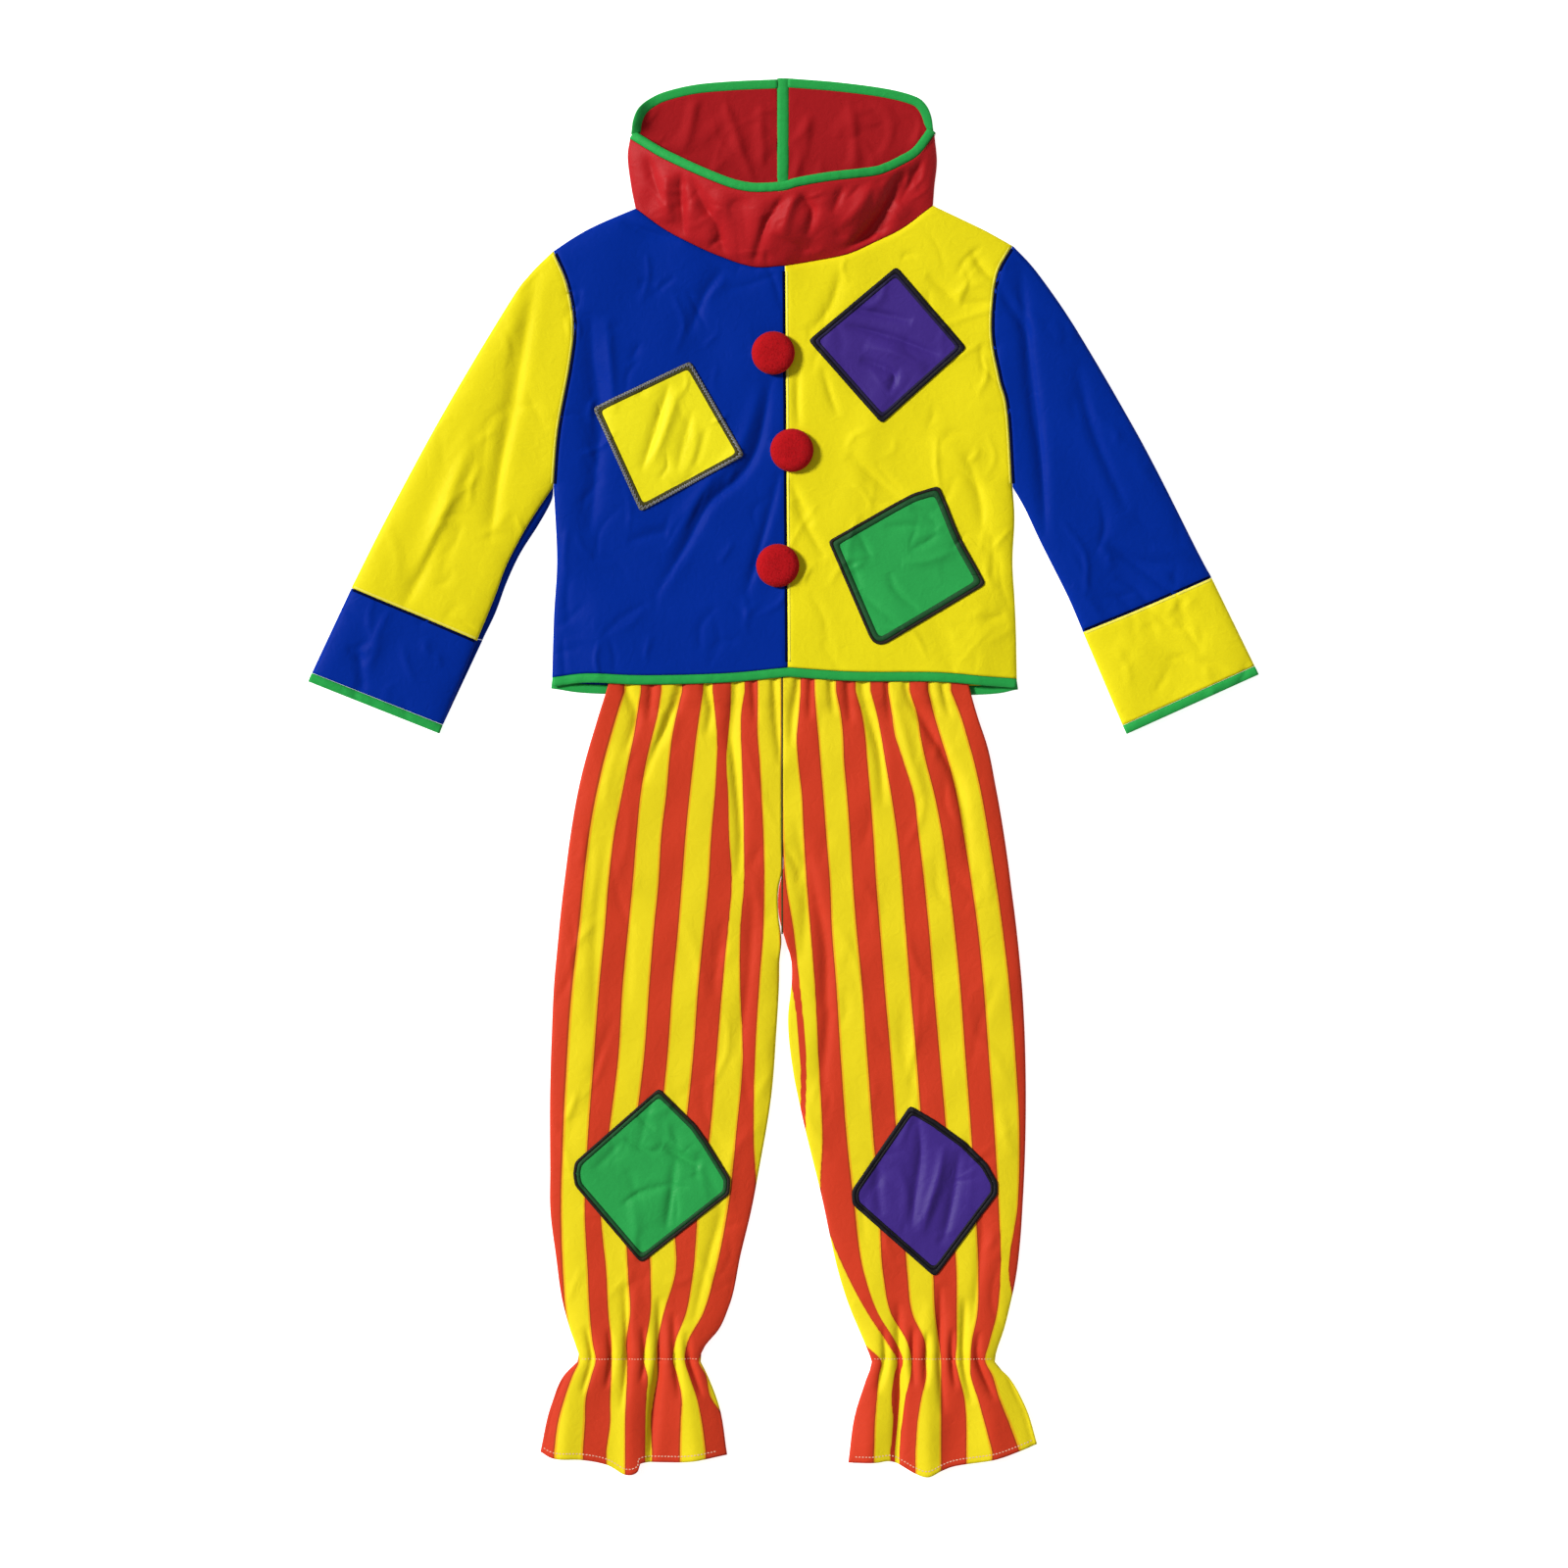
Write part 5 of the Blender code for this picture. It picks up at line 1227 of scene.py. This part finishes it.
def make_collar_back():
    halves = [
        ("right", BACK_NECK_RIGHT, COLLAR_SIDE_RIGHT, BACK_RIM_RIGHT, -1),
        ("left", BACK_NECK_LEFT, COLLAR_SIDE_LEFT, BACK_RIM_LEFT, 1),
    ]
    columns, rows = 70, 60
    small = crumples(42, 60, (-150, 150, 575, 705), 70, 50, (15, 55), (2.2, 4.6), (0.4, 1.3))
    for side_name, neck, side, rim, outward in halves:
        seam = edge(neck, columns)
        seam[:, 1] += SEAM
        rim_line = edge(rim, columns)
        rim_line[-1, 0] -= outward * TUCKED
        inner_rim = beside(rim_line, outward * BINDING_WIDTH)
        inner_rim[-1, 0] = rim_line[-1, 0]
        inner_rim[0] = (rim_line[0, 0] - outward * 2, rim_line[0, 1] - 1)
        panel_top = beside(inner_rim, -outward * TUCKED)
        panel_top[-1, 0] = seam[-1, 0] = rim_line[-1, 0]
        left = edge(side, rows)
        left[0], left[-1] = seam[0], panel_top[0]
        right = edge([seam[-1], panel_top[-1]], rows)
        grid = coons(seam, panel_top, left, right)
        x, y = grid[..., 0], grid[..., 1]
        across = np.linspace(0, 1, columns + 1)[None, :]
        up = np.linspace(0, 1, rows + 1)[:, None]
        fold = crease_height(x, y, COLLAR_BACK_CREASES + small) + swell(x, y, 9, 45, 0.8)
        low = np.clip(fold * calm(up, across, 8, 9, 22, 16), 0, 8) + end_lift(x, y)
        # The inside of the collar takes the red with painted shade in its colour
        made = cloth_wall(f"collar_back_{side_name}_cloth", "red_inside_painted_shade", grid, low, CLOTH)
        dress(made, "red_satin", "collar_back_" + side_name)
        GRIDS[made.name] = (grid, 0)
        shares = np.linspace(0, 1, BAND_ACROSS)
        grid = np.stack([rim_line * (1 - t) + inner_rim * t for t in shares])
        low = end_lift(grid[..., 0], grid[..., 1]) + BACK_BAND_LIFT
        rise = 0.4 + 0.7 * crown(BAND_ACROSS, 3.2) + 0 * low
        made = cloth_wall(f"rim_band_back_{side_name}", "green", grid, low, rise)
        dress(made, "green_binding", "rim_binding_back_" + side_name)


def make_opening_binding():
    """The bound edge of the opening down the collar's centre back."""
    half = OPENING_HALF - SEAM
    bottom, top = BACK_NECK_RIGHT[-1][1] + SEAM, BACK_RIM_LEFT[-1][1]
    line = edge([(-half, bottom), (-half, top)], 60)
    band("opening_band", "green_binding", ["opening_binding"], line, -2 * half, BACK_BAND_LIFT, 1.6,
         35, 0.85)


# The trousers

def leg_grid(rows, hem, columns, down, outer_first):
    """Rows of points down a leg, with the hem's waves let in over the ruffle."""
    levels = np.linspace(CASING_LOW, HEM_Y, down + 1)
    ys = [row.y for row in rows]
    outer = through_rows(ys, [row.outer for row in rows], levels)
    inner = through_rows(ys, [row.inner for row in rows], levels)
    first, last = (outer, inner) if outer_first else (inner, outer)
    across = np.linspace(0, 1, columns + 1)[None, :]
    x = first[:, None] * (1 - across) + last[:, None] * across
    hem_line = spline(hem)
    drop = np.interp(x[-1], hem_line[:, 0], hem_line[:, 1]) - HEM_Y
    y = levels[:, None] + drop[None, :] * ease((ANKLE_Y - levels[:, None]) / (ANKLE_Y - HEM_Y))
    return np.stack([x, np.broadcast_to(y, x.shape)], axis=-1)


def bands_at(x, y, table, first_band):
    """Which stripe each point lies in, as a count that grows across the leg."""
    ys = [row[0] for row in table]
    ends = np.array([row[1] for row in table], float)
    lines = np.stack([through_rows(ys, ends[:, i], y) for i in range(ends.shape[1])], axis=-1)
    count = np.full(x.shape, float(first_band - 1))
    last = lines.shape[-1] - 2
    for i in range(last + 1):
        wide = np.maximum(lines[..., i + 1] - lines[..., i], 0.05)
        part = (x - lines[..., i]) / wide
        count += np.clip(part, -9 if i == 0 else 0, 9 if i == last else 1)
    return count + 10


def make_leg(side_name, rows, hem, outer_first, table, first_band):
    for layer in ("front", "back"):
        share = 1 if layer == "front" else BACK_SHARE
        grid = leg_grid(rows, hem, LEG_ACROSS // share, LEG_DOWN // share, outer_first)
        x, y = grid[..., 0], grid[..., 1]
        low = leg_front(x, y, rows) if layer == "front" else back_leg(x, y)
        values = {"band": bands_at(x, y, table, first_band)}
        made = cloth_wall(f"leg_{side_name}_{layer}_cloth", "stripes", grid, low, CLOTH, values)
        dress(made, "striped_cloth", f"leg_{side_name}_{layer}")
        GRIDS[made.name] = (grid, 90)
    hem_line = spline(hem, 30)
    hem_line[:, 1] += HEM_STITCH_IN
    ankle = np.column_stack([np.linspace(*ANKLE_SPAN[side_name], 60), np.full(60, float(ANKLE_Y))])
    for place, line, pitch, share, width in (("hem", hem_line[8:-8], 3.4, 0.72, 1.1),
                                             ("ankle", ankle, 2.8, 0.7, 1.0)):
        stitches(f"{place}_stitches_{side_name}", "striped_cloth", "pale_thread", line, pitch, share,
                 width, over_leg(rows))


def make_leg_seam():
    """Dark line of painted shade where the legs are sewn together, from the waist to the crotch."""
    line = edge([(-0.3, -160), (-0.3, 108)], 130)
    grid = np.stack([beside(line, across) for across in LEG_SEAM_ACROSS])
    x, y = grid[..., 0], grid[..., 1]
    low = np.maximum(leg_front(x, y, RIGHT_LEG), leg_front(x, y, LEFT_LEG)) + CLOTH + STRIP_LIFT
    # The seam's dark line is painted shade, in the olive colour
    dress(cloth_wall("leg_seam_shade", "olive_thread_and_seam_shade", grid, low, 0.12 + 0 * low), "striped_cloth")


def make_waist_casing():
    left, right = RIGHT_LEG[0].outer + 1, LEFT_LEG[0].outer - 1
    levels = np.linspace(CASING_LOW + SEAM, CASING_HIGH, CASING_UP)
    grid = np.stack([edge([(left, y), (right, y)], CASING_ACROSS) for y in levels])
    x = grid[..., 0]
    turn = 2 * np.pi * (x - left) / CASING_WAVE_LENGTH + 0.8 * np.sin(x / 9)
    wave = CASING_WAVE - CASING_WAVE * np.cos(turn)
    values = {"band": (x - left) / CASING_STRIPE + 10}
    made = cloth_wall("waist_front_cloth", "stripes", grid, TUCK_FRONT + SEAM + wave, CLOTH, values)
    dress(made, "striped_cloth", "waistband_front")
    GRIDS[made.name] = (grid, 0)
    back = grid[:, ::BACK_SHARE]
    values = {"band": values["band"][:, ::BACK_SHARE]}
    made = cloth_wall("waist_back_cloth", "stripes", back, TUCK_BACK, CLOTH, values)
    dress(made, "striped_cloth", "waistband_back")
    GRIDS[made.name] = (back, 0)


# What is sewn on

def outline(patch, width, count, soften):
    """Closed line round the patch, moved in from every side by the width, with its corners eased."""
    corners = np.array(patch.corners, float)
    middle = corners.mean(axis=0)
    sides = np.roll(corners, -1, axis=0) - corners
    normals = np.column_stack([sides[:, 1], -sides[:, 0]]) / np.hypot(sides[:, 0], sides[:, 1])[:, None]
    reach = ((corners - middle) * normals).sum(axis=1) - width
    turn = np.linspace(0, 2 * np.pi, count, endpoint=False)
    heading = np.column_stack([np.cos(turn), np.sin(turn)])
    facing = heading @ normals.T
    far = np.where(facing > 0.01, reach / np.maximum(facing, 0.01), np.inf).min(axis=1)
    for x, y, size, depth in patch.hollows:
        away = np.hypot(*(middle + heading * far[:, None] - (x, y)).T)
        far = far - depth * np.exp(-((away / size) ** 2))
    line = middle + heading * far[:, None]
    for _ in range(soften):
        line = (np.roll(line, 1, axis=0) + 2 * line + np.roll(line, -1, axis=0)) / 4
    return line


def make_patch(patch):
    """Cloth square that follows the panel under it, and its stitched border."""
    surface = raised(SURFACES[patch.panel], PATCH_LIFT)
    name = "patch_" + patch.name
    rim = outline(patch, PATCH_INSET, PATCH_AROUND, PATCH_EASE)
    middle = rim.mean(axis=0)
    shares = np.linspace(0, 1, PATCH_RINGS + 1)[1:, None, None]
    rings = middle + (rim - middle)[None] * shares
    level = surface(rings[..., 0], rings[..., 1])
    low = np.vstack([np.full((1, PATCH_AROUND), surface(middle[:1], middle[1:])[0]), level])
    cloth = round_wall(name + "_cloth", patch.cloth, rings, low, low + PATCH_CLOTH)
    made = [dress(cloth, patch.slot, name)]
    border = BORDERS[patch.border]
    made += [make_border(patch, "inner", border.inner, border.share, 1.0),
             make_border(patch, "outer", border.outer, 0.0, border.share)]
    if patch.border == "overlock":
        made.append(make_zigzag(patch))
    return made


def make_border(patch, place, finish, start, end):
    """Raised threads side by side round the patch, between two shares of its border's width."""
    border = BORDERS[patch.border]
    widths = border.width * np.linspace(start, end, BORDER_LOOPS)
    grid = np.stack([outline(patch, width, BORDER_AROUND, BORDER_EASE) for width in widths])
    grid = np.concatenate([grid, grid[:, :1]], axis=1)
    threads = 0.72 + 0.28 * np.abs(np.sin(np.pi * lengths_along(grid[0]) / border.pitch))[None, :]
    low = raised(SURFACES[patch.panel], PATCH_LIFT + PATCH_CLOTH + 0.05)(grid[..., 0], grid[..., 1])
    rise = border.rise * crown(BORDER_LOOPS, 2.4, 0.12) * threads
    return dress(cloth_wall(f"patch_{patch.name}_edge_{place}", finish, grid, low, rise), patch.slot)


def make_zigzag(patch):
    """Straight raised threads that run to and fro over the patch's edge."""
    near, far = [outline(patch, width, ZIGZAG_POINTS, ZIGZAG_EASE) for width in ZIGZAG_BETWEEN]
    corners = np.where((np.arange(ZIGZAG_POINTS) % 2 == 0)[:, None], near, far)
    corners = np.vstack([corners, corners[:1]])
    height = raised(SURFACES[patch.panel], PATCH_LIFT + PATCH_CLOTH + 0.6)
    levels = height(corners[:, 0], corners[:, 1])
    points, quads = [], []
    for i in range(ZIGZAG_POINTS):
        start, end = corners[i], corners[i + 1]
        along = (end - start) / np.hypot(*(end - start))
        out = np.array([-along[1], along[0]]) * 0.35
        at = len(points)
        for spot, level in ((start, levels[i]), (end, levels[i + 1])):
            for offset, rise in ((-1, 0), (1, 0), (1, 0.5), (-1, 0.5)):
                points.append((*(spot + offset * out), level + rise))
        sides = [[at + k, at + (k + 1) % 4, at + 4 + (k + 1) % 4, at + 4 + k] for k in range(4)]
        quads += sides + [[at, at + 3, at + 2, at + 1], [at + 4, at + 5, at + 6, at + 7]]
    made = add_mesh(f"patch_{patch.name}_zigzag", np.array(points), np.array(quads), NO_FACES,
                    "pale_grey_thread")
    return dress(made, patch.slot)


def button_top(share):
    """How high a button's top is over its base, at a share of its radius."""
    dome = np.clip(1 - share**DOME_POWER, 0, 1) ** DOME_BEND
    return BUTTON_EDGE + (BUTTON_HEIGHT - BUTTON_EDGE) * dome


def make_button(button, seed):
    """Flat-topped dome in a fuzzy cloth, with a soft rim and short fibres standing out of it."""
    random = np.random.default_rng(seed)
    turn = np.linspace(0, 2 * np.pi, BUTTON_AROUND, endpoint=False)
    share = np.linspace(0, 1, BUTTON_RINGS + 1)
    radius = BUTTON_RADIUS * np.sin(share * np.pi / 2) ** 0.9
    ring = np.column_stack([np.cos(turn), np.sin(turn)])
    rings = np.array([button.x, button.y]) + radius[1:, None, None] * ring[None]
    spread = np.vstack([ring * BUTTON_RADIUS * t for t in (0.2, 0.4, 0.6, 0.8, 0.97)])
    base = over_top(button.x + spread[:, 0], button.y + spread[:, 1]).max() + 0.1
    lift = RIM_LIFT * (radius / BUTTON_RADIUS) ** 12
    low = np.full((BUTTON_RINGS + 1, BUTTON_AROUND), base) + lift[:, None]
    nap = random.normal(0, 0.10, low.shape)
    nap[0] = nap[0].mean()
    high = base + button_top(radius / BUTTON_RADIUS)[:, None] + nap * (share[:, None] > 0.05)
    dome = round_wall(f"button_{button.name}_cloth", "button", rings, low, high)
    dress(dome, "button_red", "button_" + button.name)
    make_nap(button, base, random)


def make_nap(button, base, random):
    """Thin pointed fibres, each a small pyramid, that stand out of a button's top and lean outwards."""
    points, triangles = [], []
    for _ in range(NAP_FIBRES):
        share, around = np.sqrt(random.uniform(0, 1)), random.uniform(0, 2 * np.pi)
        radius = BUTTON_RADIUS * share * 0.995
        heading = np.array([np.cos(around), np.sin(around)])
        place = (button.x, button.y) + radius * heading
        root = np.array([*place, base + button_top(share) - 0.1])
        lean = np.array([*(heading * share**3), 1.05 - share**3]) + random.normal(0, 0.35, 3)
        lean /= np.linalg.norm(lean)
        flat = np.cross(lean, random.normal(0, 1, 3))
        flat /= np.linalg.norm(flat)
        other = np.cross(lean, flat)
        at = len(points)
        points += [root + flat * NAP_THICK, root + (other - flat / 2) * NAP_THICK,
                   root - (other + flat / 2) * NAP_THICK, root + lean * random.uniform(0.7, 1.5)]
        triangles += [[at, at + 2, at + 1], [at, at + 1, at + 3], [at + 1, at + 2, at + 3],
                      [at + 2, at, at + 3]]
    fibres = add_mesh(f"button_{button.name}_nap", np.array(points), NO_QUADS, np.array(triangles),
                      "button")
    dress(fibres, "button_red")


# Light, floor and camera

def add_sun(sun):
    """Distant soft light that comes from the direction of its source."""
    data = bpy.data.lights.new(sun.name, "SUN")
    data.angle = np.radians(sun.angle)
    data.energy = sun.strength
    data.color = sun.colour
    made = bpy.data.objects.new(sun.name, data)
    bpy.context.scene.collection.objects.link(made)
    made.rotation_euler = Vector(sun.source).to_track_quat("Z", "Y").to_euler()


def make_floor():
    """Plain white paper, lit from within as well, so that shadows on it stay faint."""
    corners = [(x * FLOOR_HALF, y * FLOOR_HALF, FLOOR_Z) for x, y in ((-1, -1), (1, -1), (1, 1), (-1, 1))]
    floor = add_mesh("floor", np.array(corners), np.array([[0, 1, 2, 3]]), NO_FACES, "blue")
    made = bpy.data.materials.new("floor_paper")
    made.use_nodes = True
    shader = made.node_tree.nodes["Principled BSDF"]
    shader.inputs["Base Color"].default_value = (FLOOR_SHADE, FLOOR_SHADE, FLOOR_SHADE, 1)
    shader.inputs["Emission Color"].default_value = (1, 1, 1, 1)
    shader.inputs["Emission Strength"].default_value = FLOOR_GLOW
    shader.inputs["Roughness"].default_value = 0.9
    shader.inputs["Specular IOR Level"].default_value = 0.1
    floor.data.materials.clear()
    floor.data.materials.append(made)


def make_light():
    world = bpy.data.worlds.new("studio")
    bpy.context.scene.world = world
    world.use_nodes = True
    background = world.node_tree.nodes["Background"]
    background.inputs["Color"].default_value = (1, 1, 1, 1)
    background.inputs["Strength"].default_value = STUDIO_LIGHT
    for sun in SUNS:
        add_sun(sun)


def make_camera():
    """Looks straight down, from the height at which the lens takes in the width shown."""
    data = bpy.data.cameras.new("camera")
    data.lens = LENS
    data.sensor_width = SENSOR_WIDTH
    data.clip_end = 40
    camera = bpy.data.objects.new("camera", data)
    bpy.context.scene.collection.objects.link(camera)
    camera.location = (CAMERA_X, CAMERA_Y, SHOWN_WIDTH * LENS / SENSOR_WIDTH)
    bpy.context.scene.camera = camera
    bpy.context.scene.view_settings.view_transform = "Standard"


def make_top():
    make_body()
    make_sleeve("right", ("yellow", "blue", "blue"), ARMHOLE_RIGHT, OUTER_RIGHT, INNER_RIGHT,
                INNER_RIGHT_BACK, CUFF_SEAM_RIGHT, CUFF_HEM_RIGHT, -1)
    make_sleeve("left", ("blue", "blue", "yellow"), ARMHOLE_LEFT, OUTER_LEFT, INNER_LEFT,
                INNER_LEFT, CUFF_SEAM_LEFT, CUFF_HEM_LEFT, 1)
    make_hem_bindings()
    make_seam_lines()
    make_collar_front()
    make_collar_back()
    make_opening_binding()


def make_trousers():
    make_leg("right", RIGHT_LEG, HEM_LINE_RIGHT, True, STRIPES_RIGHT, FIRST_BAND_RIGHT)
    make_leg("left", LEFT_LEG, HEM_LINE_LEFT, False, STRIPES_LEFT, FIRST_BAND_LEFT)
    make_leg_seam()
    make_waist_casing()


def make_sewn_on():
    """Patches and buttons. Gives the pieces that each panel carries."""
    carried = {}
    for patch in PATCHES:
        carried.setdefault(CARRIERS[patch.name], []).extend(make_patch(patch))
    for number, button in enumerate(BUTTONS):
        make_button(button, BUTTON_SEED + number)
    return carried


def declare_cloth():
    """Works out the cut of each panel, a sheet that lies on the layer under it."""
    for name, (grid, heading) in GRIDS.items():
        declare(DRESSED[name], grid, heading)


make_top()
make_trousers()
sewn_on = make_sewn_on()
make_floor()
make_light()
make_camera()
declare_cloth()
